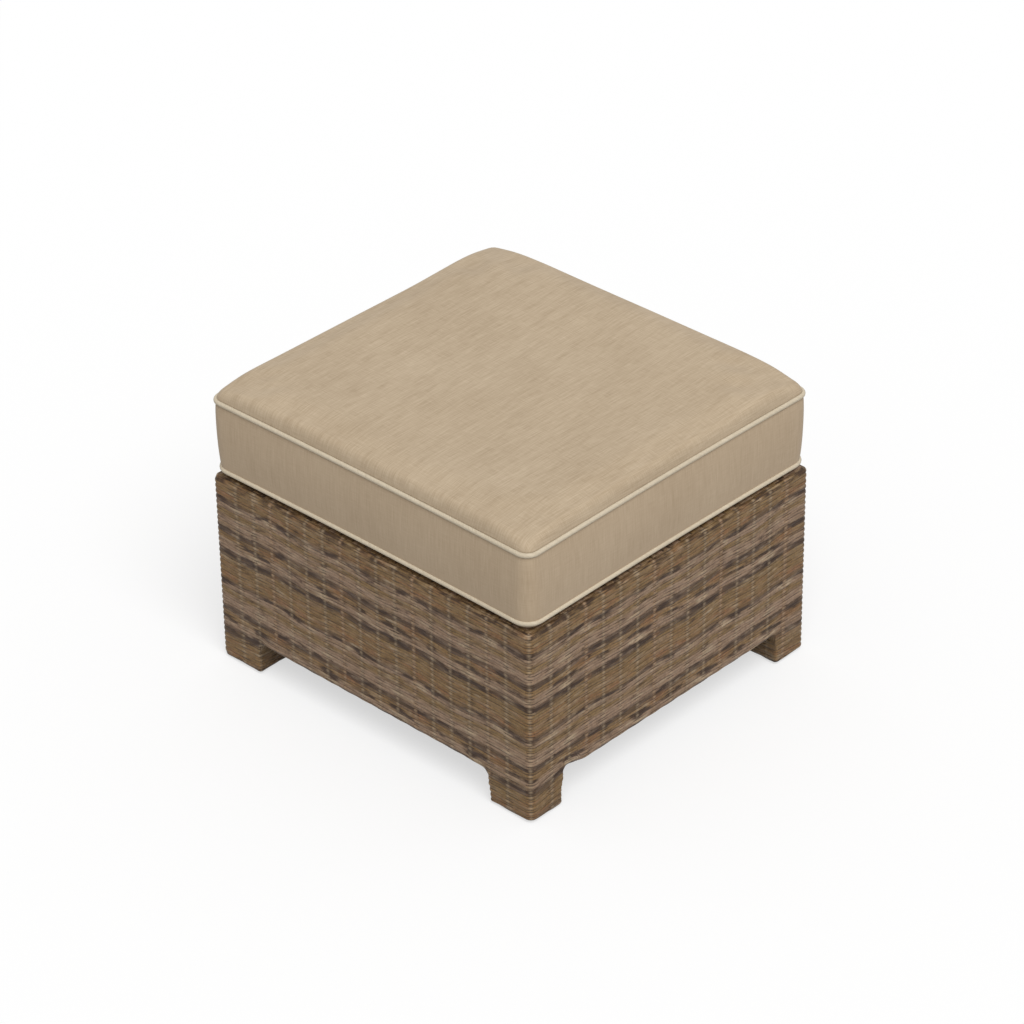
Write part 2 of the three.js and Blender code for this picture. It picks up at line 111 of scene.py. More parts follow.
def outward_faces(piece):
    """Turns every face of a closed mesh outwards"""
    shape = bmesh.new()
    shape.from_mesh(piece.data)
    bmesh.ops.recalc_face_normals(shape, faces=shape.faces)
    shape.to_mesh(piece.data)
    shape.free()


def set_vectors(piece, name, values):
    """Stores one vector for each point, for the finish to read"""
    layer = piece.data.attributes.new(name, "FLOAT_VECTOR", "POINT")
    layer.data.foreach_set("vector", np.asarray(values, np.float32).ravel())


def set_rows(piece, rows):
    """Stores the row that each face's strand has in the weave"""
    piece.data.attributes.new("row", "FLOAT", "FACE").data.foreach_set("value", rows)


def grid_faces(rows, columns, first=0, closed=False):
    """Quads over points that are stored row by row"""
    faces = []
    across = columns if closed else columns - 1
    for r in range(rows - 1):
        for c in range(across):
            n = (c + 1) % columns
            faces.append((first + r * columns + c, first + r * columns + n,
                          first + (r + 1) * columns + n, first + (r + 1) * columns + c))
    return faces


def settle(piece, body, slot, *nodes):
    """The piece rides on its body and stands for its CAD nodes, which it hides; its slot is not used"""
    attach(piece, body)
    if nodes:
        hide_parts(*nodes)
    return piece


# Finishes
class Value:
    """One output among the nodes of a tree: sums, differences and products of values add Math nodes"""

    def __init__(self, tree, socket):
        self.tree = tree
        self.socket = socket

    def __add__(self, other):
        return self.tree.math("ADD", self, other)

    def __radd__(self, other):
        return self.tree.math("ADD", other, self)

    def __sub__(self, other):
        return self.tree.math("SUBTRACT", self, other)

    def __rsub__(self, other):
        return self.tree.math("SUBTRACT", other, self)

    def __mul__(self, other):
        return self.tree.math("MULTIPLY", self, other)

    def __rmul__(self, other):
        return self.tree.math("MULTIPLY", other, self)


class Nodes:
    """The node tree of a material or of the sky"""

    def __init__(self, tree):
        self.tree = tree

    def node(self, kind, settings, sockets, output=0):
        made = self.tree.nodes.new(kind)
        for name, value in settings.items():
            if name == "stops":
                self.set_stops(made.color_ramp, value)
            else:
                setattr(made, name, value)
        for name, value in sockets.items():
            if isinstance(value, Value):
                self.tree.links.new(value.socket, made.inputs[name])
            else:
                made.inputs[name].default_value = value
        return Value(self, made.outputs[output])

    @staticmethod
    def set_stops(ramp, stops):
        while len(ramp.elements) < len(stops):
            ramp.elements.new(1)
        for element, (place, colour) in zip(ramp.elements, stops):
            element.position = place
            element.color = (*colour, 1)

    def math(self, operation, *values):
        return self.node("ShaderNodeMath", {"operation": operation}, dict(enumerate(values)))

    def fraction(self, value):
        return self.math("FRACT", value)

    def off_centre(self, value):
        """Distance to the nearest whole number, from 0 to a half"""
        return self.math("ABSOLUTE", self.fraction(value + 0.5) - 0.5)

    def stretch(self, value, low, high, least=0.0, most=1.0):
        """Smooth step from least, at low, to most, at high"""
        return self.node("ShaderNodeMapRange", {"interpolation_type": "SMOOTHSTEP"},
                         {"Value": value, "From Min": low, "From Max": high, "To Min": least, "To Max": most})

    def mix(self, share, first, second, blend="MIX"):
        sockets = {0: share}
        for index, colour in ((6, first), (7, second)):
            sockets[index] = colour if isinstance(colour, Value) else (*colour, 1)
        return self.node("ShaderNodeMix", {"data_type": "RGBA", "blend_type": blend}, sockets, 2)

    def vector(self, x, y, z=0.0):
        return self.node("ShaderNodeCombineXYZ", {}, {0: x, 1: y, 2: z})

    def parts(self, name):
        """The three numbers of a stored vector"""
        stored = self.node("ShaderNodeAttribute", {"attribute_name": name}, {}, "Vector")
        return [self.node("ShaderNodeSeparateXYZ", {}, {0: stored}, axis) for axis in range(3)]

    def number(self, name):
        return self.node("ShaderNodeAttribute", {"attribute_name": name}, {}, "Fac")

    def place(self):
        return self.node("ShaderNodeTexCoord", {}, {}, "Object")

    def noise(self, where, scale=1.0, detail=2.0, roughness=0.5):
        return self.node("ShaderNodeTexNoise", {"noise_dimensions": "3D"},
                         {"Vector": where, "Scale": scale, "Detail": detail, "Roughness": roughness})

    def bump(self, height, distance, strength=1.0):
        return self.node("ShaderNodeBump", {}, {"Height": height, "Distance": distance, "Strength": strength})

    def seen_directly(self):
        """1 for rays from the camera, off a gloss or through glass, which see the plain white studio"""
        camera, glossy, through = (self.node("ShaderNodeLightPath", {}, {}, name)
                                   for name in ("Is Camera Ray", "Is Glossy Ray", "Is Transmission Ray"))
        return self.math("MAXIMUM", self.math("MAXIMUM", camera, glossy), through)


class Finish(Nodes):
    """A material whose steady values sit on the shader and whose varying ones come from nodes"""

    def __init__(self, name, steady):
        self.material = bpy.data.materials.new(name)
        self.material.use_nodes = True
        super().__init__(self.material.node_tree)
        self.shader = self.tree.nodes["Principled BSDF"]
        for socket, value in steady.items():
            self.shader.inputs[socket].default_value = value

    def feed(self, **varying):
        for name, value in varying.items():
            self.tree.links.new(value.socket, self.shader.inputs[name.replace("_", " ")])


def colour(red, green, blue):
    """An sRGB colour, 0 to 255, as the linear values that the shader takes"""
    steps = [c / 255 for c in (red, green, blue)]
    return tuple(s / 12.92 if s <= 0.04045 else ((s + 0.055) / 1.055) ** 2.4 for s in steps)


# Wicker: tones of the moulded strands, and how they lie in bands up the wall
OLIVE = colour(136, 109, 71)
TAN = colour(141, 111, 73)
RUST = colour(140, 98, 64)
MAUVE = colour(158, 131, 108)
PALE = colour(186, 163, 134)
BROWN = colour(82, 62, 45)
DARK = colour(56, 37, 24)
# SHADE is the tone of painted shade in the grooves and on walls in under the seat, and also of the strands'
# darkest flecks
SHADE = colour(38, 28, 20)
strand_pitch = 4.67 * MM
band_period = 142 * MM
band_top = 270 * MM
BANDS = [
    (0.0, OLIVE), (0.04, OLIVE), (0.09, MAUVE), (0.20, MAUVE), (0.235, BROWN), (0.275, BROWN), (0.31, TAN),
    (0.355, TAN), (0.40, MAUVE), (0.47, MAUVE), (0.51, BROWN), (0.555, BROWN), (0.59, OLIVE), (0.68, OLIVE),
    (0.74, TAN), (0.80, OLIVE), (0.84, TAN), (0.89, BROWN), (0.93, MAUVE), (0.97, MAUVE), (1.0, OLIVE),
]

# Streaks: millimetres along a tile, up the wall, half length and half height, then their fall and strength
tile_length = 144 * MM
STREAKS = {
    "dark": [((3, 216, 27, 5.5), 0.12, 1.0), ((-4, 195.5, 27, 6), 0.17, 1.0), ((-65, 217, 13, 4), 0.1, 0.7),
             ((60, 216, 13, 4), 0.0, 0.6), ((-60, 196, 18, 5), 0.0, 0.75), ((54, 195, 14, 4), 0.0, 0.5),
             ((50, 234, 12, 5.5), 0.0, 0.8), ((-30, 236, 12, 5), 0.0, 0.6), ((-64, 235, 11, 5.5), 0.0, 0.65),
             ((18, 143, 15, 4), -0.1, 0.8), ((62, 141, 15, 4.5), 0.1, 0.9), ((-62, 142, 14, 4.5), 0.0, 0.75),
             ((11, 262, 10, 5), 0.0, 0.45), ((14, 166, 10, 4), 0.0, 0.4)],
    "pale": [((0, 206, 17, 5), 0.1, 0.95), ((34, 136, 16, 5), 0.0, 0.8), ((-38, 135, 14, 4), 0.0, 0.6),
             ((0, 250, 13, 5), 0.0, 0.7), ((64, 250, 12, 4), 0.0, 0.4), ((-66, 208, 14, 4), 0.0, 0.4),
             ((2, 175, 8, 6), 0.0, 0.45)],
    "rust": [((36, 225, 19, 7), 0.0, 0.85), ((-58, 176, 13, 7), 0.0, 0.55), ((-57, 154, 15, 6), 0.0, 0.85),
             ((45, 154, 17, 6), 0.0, 0.85), ((28, 160, 13, 5), 0.0, 0.55), ((-22, 176, 11, 6), 0.0, 0.5),
             ((34, 190, 6, 5), 0.0, 0.5), ((-22, 154, 10, 4), 0.0, 0.4)],
}
streak_scatter = 10 * MM
streak_end = 1.5
streak_fade = 1.1
# The rim under the cushion is darkened from here up: partly a darker tone of its own, partly painted shade of
# the cushion over it
rim_tone_and_shade_start = 306 * MM
rim_tone_and_shade_fade = 12 * MM
rim_tone_and_shade_share = 0.6
# Height below which the wicker grows darker towards the bottom
bottom_darkening_height = 75 * MM


def wicker_finish(name, shade):
    """Moulded strands, darkened by a share of shade where a wall faces in under the seat"""
    finish = Finish(name, {"Specular IOR Level": 0.3})
    along, height, ridge = finish.parts("weave")
    stake, tile, lift = finish.parts("place")
    dark, pale, rust = finish.parts("streak")
    row = finish.number("row")

    drift = finish.noise(finish.vector(along * 9, height * 14, 2.0), detail=1.0)
    long_streak = finish.noise(finish.vector(along * 14, row * 3.7), detail=2.0)
    clump = finish.noise(finish.vector(along * 26, row * 0.62, 1.0), detail=1.0)
    strand = finish.noise(finish.vector(along * 38, row * 5.3, 4.0), detail=3.0)
    streak = clump * 0.9 + strand * 0.8 - 0.35
    fleck = finish.noise(finish.vector(along * 170, row * 7.1, 9.0), detail=3.0, roughness=0.6)
    hair = finish.noise(finish.vector(along * 60, height * 850, 3.0), detail=2.0)
    patch = finish.noise(finish.vector(finish.math("FLOOR", stake) * 3.1, row * 2.3, 5.0), detail=0.0)

    level = (band_top / strand_pitch - 0.5 - row) * (strand_pitch / band_period)
    ragged = finish.fraction(level + (long_streak - 0.5) * 0.1 + (drift - 0.5) * 0.09)
    tone = finish.node("ShaderNodeValToRGB", {"stops": BANDS}, {0: ragged})
    tone = finish.mix(finish.stretch(patch, 0.52, 0.8, 0.0, 0.45), tone, OLIVE)
    tone = finish.mix(finish.stretch(patch, 0.48, 0.2, 0.0, 0.4), tone, MAUVE)

    fine = fleck * 0.4 + hair * 0.6
    tone = finish.mix(rust * finish.stretch(streak, 0.3, 0.6, 0.35, 0.9), tone, RUST)
    tone = finish.mix(finish.stretch(fine, 0.54, 0.7, 0.0, 0.5), tone, RUST)
    tone = finish.mix(finish.stretch(fine, 0.46, 0.32, 0.0, 0.5), tone, MAUVE)
    lighter = streak + (fine - 0.5) * 0.7 + (pale - 0.5) * 0.45
    tone = finish.mix(finish.stretch(lighter, 0.35, 0.75, 0.0, 0.85), tone, PALE)
    # The dark share holds dark streaks, and on the rim also painted shade of the cushion
    darker = streak + (fine - 0.5) * 1.3 - dark * 0.48
    tone = finish.mix(finish.stretch(darker, 0.44, 0.02, 0.0, 0.95), tone, DARK)

    beside = finish.off_centre(stake)
    at_stake = finish.stretch(beside, 0.14, 0.02)
    warm = finish.stretch(finish.off_centre(tile - 0.25), 0.07, 0.02, 0.0, 0.6) * at_stake
    # Painted highlight at the stakes: strands that pass over a stake, and a thin line down each stake, are
    # lightened towards the pale tone
    stake_highlight_line = finish.stretch(beside, 0.05, 0.015, 0.0, 0.1)
    stake_highlight = finish.stretch(lift, -0.6, 0.9, 0.14, 0.38) * at_stake + stake_highlight_line
    tone = finish.mix(stake_highlight, finish.mix(warm, tone, RUST), PALE)

    # Darker towards the bottom of the walls and feet
    tone = finish.mix(finish.stretch(height, bottom_darkening_height, 0.0, 0.0, 0.12), tone, BROWN)
    # Dark flecks in the strands' own colour, plus painted shade: the shade argument gives a share of it on
    # walls that face in under the seat
    flecked_and_shaded = finish.mix(finish.stretch(fleck, 0.35, 0.7, shade, shade + 0.3), tone, SHADE)
    # Painted shade in the grooves between strands, deepest where a strand's ridge falls away
    groove_shade = finish.stretch(ridge, 0.85, 0.35, 0.0, 0.7)
    finish.feed(Base_Color=finish.mix(groove_shade, flecked_and_shaded, SHADE),
                Roughness=finish.stretch(streak, 0.3, 0.7, 0.62, 0.48),
                Normal=finish.bump(fleck + streak, 0.1 * MM, 0.6))
    return finish


# Woven cover fabric: slubbed yarns, two tones
CANVAS_DARK = colour(165, 144, 117)
CANVAS_LIGHT = colour(203, 184, 157)
STRIP_DARK = colour(169, 146, 118)
STRIP_LIGHT = colour(208, 187, 159)
PIPING_DARK = colour(192, 178, 154)
PIPING_LIGHT = colour(220, 207, 184)
CREASE_SHADE = colour(120, 106, 88)
strip_contrast = 0.55


def canvas_finish(name, dark, light, contrast, crease=None):
    """Woven cloth; crease holds the two heights between which the painted shade of the crease over a seam
    fades
    """
    finish = Finish(name, {"Specular IOR Level": 0.2, "Sheen Weight": 0.15, "Sheen Roughness": 0.5})
    across, along, _ = finish.parts("cloth")
    slub = finish.noise(finish.vector(across * 620, along * 26), detail=3.0, roughness=0.6)
    broad = finish.noise(finish.vector(across * 90, along * 9, 3.0), detail=2.0)
    weft = finish.noise(finish.vector(across * 40, along * 700, 6.0), detail=2.0)
    cloud = finish.noise(finish.vector(across * 7, along * 7, 8.0), detail=1.0)
    varied = (slub - 0.5) * 0.9 + (broad - 0.5) * 0.3 + (weft - 0.5) * 0.5 + (cloud - 0.5) * 0.3
    tone = finish.mix(finish.stretch(varied * contrast + 0.5, 0.0, 1.0), dark, light)
    if crease:
        level = finish.node("ShaderNodeSeparateXYZ", {}, {0: finish.place()}, "Z")
        # Painted shade where the top panel dips into the seam above the piping
        tone = finish.mix(finish.stretch(level, *crease, 0.6, 0.0), tone, CREASE_SHADE)
    finish.feed(Base_Color=tone,
                Roughness=finish.stretch(slub, 0.3, 0.7, 0.95, 0.82),
                Normal=finish.bump(slub + weft, 0.12 * MM, 0.4))
    return finish


# Plain moulded, cast or coated stuff: steady values, two tones, grain per metre, its depth and its roughness
GRAINED = {
    "powder_coat": ({"Specular IOR Level": 0.5}, (70, 54, 42), (84, 66, 52), 900, 0.08 * MM, (0.45, 0.36)),
    "glide_nylon": ({"Specular IOR Level": 0.4}, (38, 34, 30), (50, 45, 40), 1400, 0.04 * MM, (0.6, 0.48)),
    "screw_steel": ({"Metallic": 1.0}, (168, 166, 162), (190, 188, 184), 1800, 0.02 * MM, (0.38, 0.26)),
    "foam": ({"Specular IOR Level": 0.2}, (226, 214, 182), (240, 230, 202), 1100, 0.5 * MM, (0.98, 0.9)),
    "zip_tape_cloth": ({"Specular IOR Level": 0.2, "Sheen Weight": 0.1},
                       (158, 140, 112), (178, 160, 132), 1500, 0.1 * MM, (0.95, 0.85)),
    "sewing_thread": ({"Specular IOR Level": 0.3, "Sheen Weight": 0.2},
                      (186, 170, 140), (206, 192, 164), 2600, 0.05 * MM, (0.8, 0.65)),
    "zip_coil": ({"Specular IOR Level": 0.45}, (140, 122, 96), (154, 136, 108), 700, 0.02 * MM, (0.5, 0.4)),
    "zip_metal": ({"Metallic": 1.0}, (128, 110, 84), (142, 123, 95), 2400, 0.01 * MM, (0.4, 0.3)),
}


def grained_finish(name):
    """A fine grain in the colour, gloss and surface of a plain stuff"""
    steady, first, second, grain_scale, depth, rough = GRAINED[name]
    finish = Finish(name, steady)
    grain = finish.noise(finish.place(), grain_scale, 4.0, 0.6)
    wear = finish.noise(finish.place(), grain_scale / 12, 2.0)
    tone = finish.stretch(grain + (wear - 0.5), 0.25, 0.75)
    finish.feed(Base_Color=finish.mix(tone, colour(*first), colour(*second)),
                Roughness=finish.stretch(grain, 0.3, 0.7, *rough),
                Normal=finish.bump(grain, depth, 0.5))
    return finish


def fibre_finish():
    finish = Finish("polyester_fibre", {"Specular IOR Level": 0.2, "Sheen Weight": 0.3})
    tuft = finish.noise(finish.place(), 60, 5.0, 0.7)
    strand = finish.noise(finish.place(), 420, 4.0, 0.7)
    tone = finish.mix(finish.stretch(tuft, 0.3, 0.7), colour(232, 230, 224), colour(246, 245, 240))
    finish.feed(Base_Color=tone,
                Roughness=finish.stretch(strand, 0.3, 0.7, 0.95, 0.85),
                Normal=finish.bump(tuft * 3 + strand, 0.8 * MM, 0.8))
    return finish


wicker = wicker_finish("woven_resin", 0.0)
# A copy of the wicker with painted shade, for the feet's inner walls under the apron
inner_wicker = wicker_finish("woven_resin_in_shade", 0.24)
top_canvas = canvas_finish("top_canvas", CANVAS_DARK, CANVAS_LIGHT, 1.0,
                           (high_seam + piping_radius, high_seam + piping_radius + 3.5 * MM))
side_canvas = canvas_finish("side_canvas", STRIP_DARK, STRIP_LIGHT, strip_contrast)
cord_canvas = canvas_finish("piping_canvas", PIPING_DARK, PIPING_LIGHT, 1.0)
grained = {name: grained_finish(name) for name in GRAINED}
fibre = fibre_finish()

# Weave of the base: stakes stand round the perimeter, strands run along it in rows
strand_half = 2.6 * MM
strand_rise = 1.1 * MM
weave_swing = 0.5 * MM
full_proud = strand_rise + weave_swing
row_step = strand_pitch / 6
column_step = 4.5 * MM
side_run = 9 * MM
side_step = 1 * MM
foot_run = 11 * MM
foot_step = 1.1 * MM
bend_run = 8 * MM
bend_step = 1.6 * MM
corner_step = 2 * MM
slope_step = 1 * MM
skirt_width = 0.8 * MM
skirt_depth = 1 * MM
lip_start = 5 * MM
lip_fade = 4 * MM
least_lip = 1 * MM
underside_rise = 4 * MM
inner_foot_gap = 1 * MM
lining_gap = 0.5 * MM
lining_stakes = 8
tucked_radius = 1 * MM
bend_growth = 3 * MM
lining_levels = (40 * MM, 20 * MM)
least_radius = 0.1 * MM
side_lengths = {"front": 2 * half_width, "right": 2 * half_depth,
                "back": 2 * half_width, "left": 2 * half_depth}
perimeter = sum(side_lengths.values())
side_starts = {"front": 0.0, "right": 2 * half_width, "back": 2 * (half_width + half_depth),
               "left": perimeter - 2 * half_depth}
side_axes = {"front": ((1, 0), (0, -1)), "right": ((0, 1), (1, 0)),
             "back": ((-1, 0), (0, 1)), "left": ((0, -1), (-1, 0))}
inner_stakes = {"front": (50 * MM, 589 * MM, 16), "right": (44 * MM, 548 * MM, 15)}
tile_stakes = [2, 6, 10, 14, 19, 23, 27, 31, 35, 39, 43, 47, 52, 56, 60, 64]
inner_points = 4
inner_row = 12


def stake_places():
    """Places of the stakes round the perimeter, from the front left corner"""
    places = []
    for side in SIDES:
        first, last, count = inner_stakes["front" if side in ("front", "back") else "right"]
        places.append(side_starts[side])
        places.extend(side_starts[side] + np.linspace(first, last, count))
    return np.array(places + [perimeter])


stakes = stake_places()
stake_count = len(stakes) - 1
tile_marks = np.array([tile_stakes[-1] - stake_count] + tile_stakes + [tile_stakes[0] + stake_count])
strand_draws = np.random.RandomState(4)
strand_kinds = 257
wobble_waves = strand_draws.randint(18, 44, strand_kinds)
wobble_turns = strand_draws.uniform(0, 2 * math.pi, strand_kinds)
wobble_size = 0.36 * MM
row_wave_size = 1.7 * MM
row_wave_fade = 45 * MM
streak_shifts = strand_draws.uniform(-streak_scatter, streak_scatter, strand_kinds)


def smooth(share):
    share = np.clip(share, 0, 1)
    return share * share * (3 - 2 * share)


def stake_phase(along):
    """Whole numbers at the stakes"""
    laps = np.floor(along / perimeter)
    return np.interp(along - laps * perimeter, stakes, np.arange(stake_count + 1)) + laps * stake_count


def tile_phase(phase):
    """Whole numbers where the dark blotches of the strands lie"""
    return np.interp(phase % stake_count, tile_marks, np.arange(len(tile_marks)) - 1.0)


def strand_relief(phase, along, height):
    """How proud the outermost strand stands, with its row, its ridge share and its lift over the stake"""
    nearest = np.floor(height / strand_pitch)
    proud = np.full(height.shape, -1.0)
    row, ridge, lift = (np.zeros(height.shape) for _ in range(3))
    for step in (-1, 0, 1):
        candidate = nearest + step
        kind = candidate.astype(int) % strand_kinds
        turn = 2 * math.pi * wobble_waves[kind] * along / perimeter + wobble_turns[kind]
        centre = (candidate + 0.5) * strand_pitch + wobble_size * np.sin(turn)
        swing = np.cos(math.pi * (phase + candidate))
        swing = swing * np.sqrt(np.abs(swing))
        body = np.sqrt(np.clip(1 - ((height - centre) / strand_half) ** 2, 0, 1))
        here = weave_swing * swing + strand_rise * body
        take = here > proud
        proud = np.where(take, here, proud)
        row = np.where(take, candidate, row)
        ridge = np.where(take, body, ridge)
        lift = np.where(take, swing, lift)
    return proud, row, ridge, lift


def streak_shares(tile, row, path):
    """Shares of the dark, pale and rust tones on the strands; the dark share also darkens the rim under the
    cushion, partly its own darker tone and partly painted shade of the cushion
    """
    place = tile * tile_length + streak_shifts[row.astype(int) % strand_kinds]
    level = ((row + 0.5) * strand_pitch + path) / 2
    shares = []
    for tone in ("dark", "pale", "rust"):
        share = np.zeros(row.shape)
        for (at, height, half_length, half_height), fall, strength in STREAKS[tone]:
            along = (place - at * MM + tile_length / 2) % tile_length - tile_length / 2
            up = (level - height * MM + fall * along + band_period / 2) % band_period - band_period / 2
            reach = np.hypot(along / (half_length * MM), up / (half_height * MM))
            share = np.maximum(share, strength * smooth((streak_end - reach) / streak_fade))
        shares.append(share)
    # Rim under the cushion: its own darker tone and painted shade of the cushion, in the dark share
    shares[0] = np.maximum(shares[0], rim_tone_and_shade_share * smooth((level - rim_tone_and_shade_start) / rim_tone_and_shade_fade))
    return np.stack(shares, -1)


def perimeter_point(along, out):
    """Plan place of points that lie so far along the base's perimeter and so far out from it"""
    along, out = np.broadcast_arrays(along % perimeter, out)
    x, y = np.zeros(along.shape), np.zeros(along.shape)
    for side in SIDES:
        length = side_lengths[side]
        local = along - side_starts[side]
        here = (local >= 0) & (local <= length)
        run, normal = side_axes[side]
        middle = local - length / 2
        past = np.abs(middle) - (length / 2 - plan_radius)
        turn = np.clip(past / plan_radius, 0, 1) * (QUARTER / 2)
        radius = plan_radius + out
        round_reach = length / 2 - plan_radius + radius * np.sin(turn)
        reach = np.where(past > 0, round_reach, np.abs(middle)) * np.sign(middle)
        depth = np.where(past > 0, radius * np.cos(turn) - plan_radius, out)
        centre = half_depth if side in ("front", "back") else half_width
        x = np.where(here, run[0] * reach + normal[0] * (centre + depth), x)
        y = np.where(here, run[1] * reach + normal[1] * (centre + depth), y)
    return x, y


def section(path, low, low_radius, lip):
    """Nominal shift out, height and facing of each point down a wall: rim, face, lower edge, lip"""
    face_top = rim_top - rim_radius
    face_end = low + low_radius
    over_rim = np.clip((path - face_top) / rim_radius, 0, QUARTER)
    beyond_rim = np.clip(path - face_top - rim_radius * QUARTER, 0, None)
    under = np.clip((face_end - path) / low_radius, 0, QUARTER)
    beyond_low = np.clip(face_end - path - low_radius * QUARTER, 0, lip)
    out = -rim_radius * (1 - np.cos(over_rim)) - beyond_rim - low_radius * (1 - np.cos(under)) - beyond_low
    height = np.clip(path, face_end, face_top) + rim_radius * np.sin(over_rim) - low_radius * np.sin(under)
    return out, height, np.cos(over_rim) * np.cos(under), np.sin(over_rim) - np.sin(under)


top_path = rim_top - rim_radius + rim_radius * QUARTER + (wall - rim_radius)


def turned_edge(distance, out, radius):
    """Half of an edge rounded in plan: a point's new distance from the edge and its new shift out"""
    radius = np.maximum(radius, 1e-6)
    turn = np.clip(1 - distance / radius, 0, 1.4) * QUARTER / 2
    reach = np.maximum(radius + out, least_radius)
    rounded = (distance < radius) & (radius > least_radius)
    return (np.where(rounded, radius - reach * np.sin(turn), distance),
            np.where(rounded, reach * np.cos(turn) - radius, out))


def foot_rounding(height, rise):
    """Radius of a foot's inner upright edges: none beside the apron, growing towards the sole"""
    return foot_edge_radius * smooth((apron_low + rise - notch_radius - height) / foot_edge_growth)


def end_cap(column, rows, columns, first_inner, flip):
    """Triangles that close one end of a wall, between its outer and its inner surface"""
    faces = []
    held = 0
    for r in range(rows - 1):
        upper, lower = r * columns + column, (r + 1) * columns + column
        facing = first_inner + held * columns + column
        faces.append((upper, lower, facing))
        following = round((r + 1) * (inner_points - 1) / (rows - 1))
        if following != held:
            faces.append((lower, first_inner + following * columns + column, facing))
            held = following
    return [tuple(reversed(face)) for face in faces] if flip else faces


def woven_wall(name, node, form, placed, lines, inner, facing=-1, finish=wicker, skirted=True):
    """A closed woven wall: a fine outer surface and a plain inner one, stored column by row.

    The first and last columns only give the neighbours' slope, so that pieces meet without a line, and a
    skirted wall turns in a little at both ends."""
    out, height, facing_out, facing_up = form
    along, phase, path = lines
    proud, row, ridge, lift = strand_relief(phase, along, path)
    tile = tile_phase(phase)
    sunk = proud - full_proud
    surface = placed(out + facing_out * sunk, height + facing_up * sunk)
    down, across = np.gradient(surface, axis=0), np.gradient(surface, axis=1)
    normals = np.cross(across, down) * facing
    normals /= np.linalg.norm(normals, axis=2)[:, :, None] + 1e-12
    surface, inner, normals = surface[:, 1:-1], inner[:, 1:-1], normals[:, 1:-1]
    if skirted:
        surface[:, (0, -1)] -= normals[:, (0, -1)] * skirt_depth
    rows, columns = surface.shape[:2]
    first_inner = rows * columns
    faces = grid_faces(rows, columns)
    outer_faces = len(faces)
    faces += [tuple(reversed(face)) for face in grid_faces(inner_points, columns, first_inner)]
    last, last_inner = (rows - 1) * columns, first_inner + (inner_points - 1) * columns
    for c in range(columns - 1):
        faces.append((c + 1, c, first_inner + c, first_inner + c + 1))
        faces.append((last + c, last + c + 1, last_inner + c + 1, last_inner + c))
    faces += end_cap(0, rows, columns, first_inner, False)
    faces += end_cap(columns - 1, rows, columns, first_inner, True)
    piece = new_piece(name, np.concatenate([surface.reshape(-1, 3), inner.reshape(-1, 3)]), faces, finish)
    outward_faces(piece)
    plain = np.zeros((inner_points * columns, 3))
    levels = inner[:, :, 2]
    along_inner, phase_inner, tile_inner = (values[:inner_points, 1:-1] for values in (along, phase, tile))
    inner_weave = np.stack([along_inner, levels, np.ones_like(levels)], -1)
    inner_place = np.stack([phase_inner, tile_inner, np.zeros_like(levels)], -1)
    for attribute, values, inner_values in (("weave", np.stack([along, path, ridge], -1), inner_weave),
                                            ("place", np.stack([phase, tile, lift], -1), inner_place),
                                            ("streak", streak_shares(tile, row, path), plain)):
        outer_values = values[:, 1:-1].reshape(-1, 3)
        set_vectors(piece, attribute, np.concatenate([outer_values, inner_values.reshape(-1, 3)]))
    face_rows = np.full(len(faces), inner_row, np.float32)
    row = row[:, 1:-1]
    face_rows[:outer_faces] = np.maximum(row[:-1, :-1], row[1:, 1:]).ravel()
    set_rows(piece, face_rows)
    kept = np.concatenate([normals.reshape(-1, 3), plain])
    piece.data.normals_split_custom_set_from_vertices([tuple(normal) for normal in kept])
    return settle(piece, "base", "wicker", node)


def spread_places(*stretches, skirt=None):
    """Places along a wall from stretches of first, last and step, with one more beyond each end"""
    places = [stretches[0][0]]
    if skirt:
        stretches += ((stretches[-1][1], stretches[-1][1] + skirt, skirt),)
        places = [places[0] - skirt] + places
    for first, last, step in stretches:
        count = max(1, round((last - first) / step))
        places.extend(np.linspace(first, last, count + 1)[1:])
    return np.array([places[0] - slope_step] + places + [places[-1] + slope_step])


# How much the apron's lower edge rises beside the feet at a wall's two ends, and over what length
apron_rise = {
    "front": ((3.7 * MM, 24 * MM), (-1.8 * MM, 60 * MM)),
    "right": ((10 * MM, 50 * MM), (3 * MM, 24 * MM)),
    "back": ((4 * MM, 24 * MM), (5 * MM, 36 * MM)),
    "left": ((5 * MM, 36 * MM), (3 * MM, 24 * MM)),
}
apron_knee = apron_low + 40 * MM


def foot_length(side):
    return foot_width if side in ("front", "back") else foot_depth


def near_rise(side):
    return apron_rise[side][0][0]


def far_rise(side):
    return apron_rise[side][1][0]


def row_bend(path):
    """How much of the apron's rise the rows take at a height"""
    return smooth((apron_knee - path) / (apron_knee - apron_low))


def row_wave(phase, path):
    """A slight wave of all the rows in the middle of a wall"""
    below_rim = smooth((rim_top - rim_radius - path) / row_wave_fade)
    above_apron = smooth((path - apron_knee) / row_wave_fade)
    return row_wave_size * np.sin(2 * math.pi * tile_phase(phase)) * below_rim * above_apron


def corner_bend(before, after, local, path):
    """Shift of a corner's rows: the apron's rise where the sides meet it, and none at its edge"""
    bend = far_rise(before) * smooth(-local / foot_length(before))
    return (bend + near_rise(after) * smooth(local / foot_length(after))) * row_bend(path)


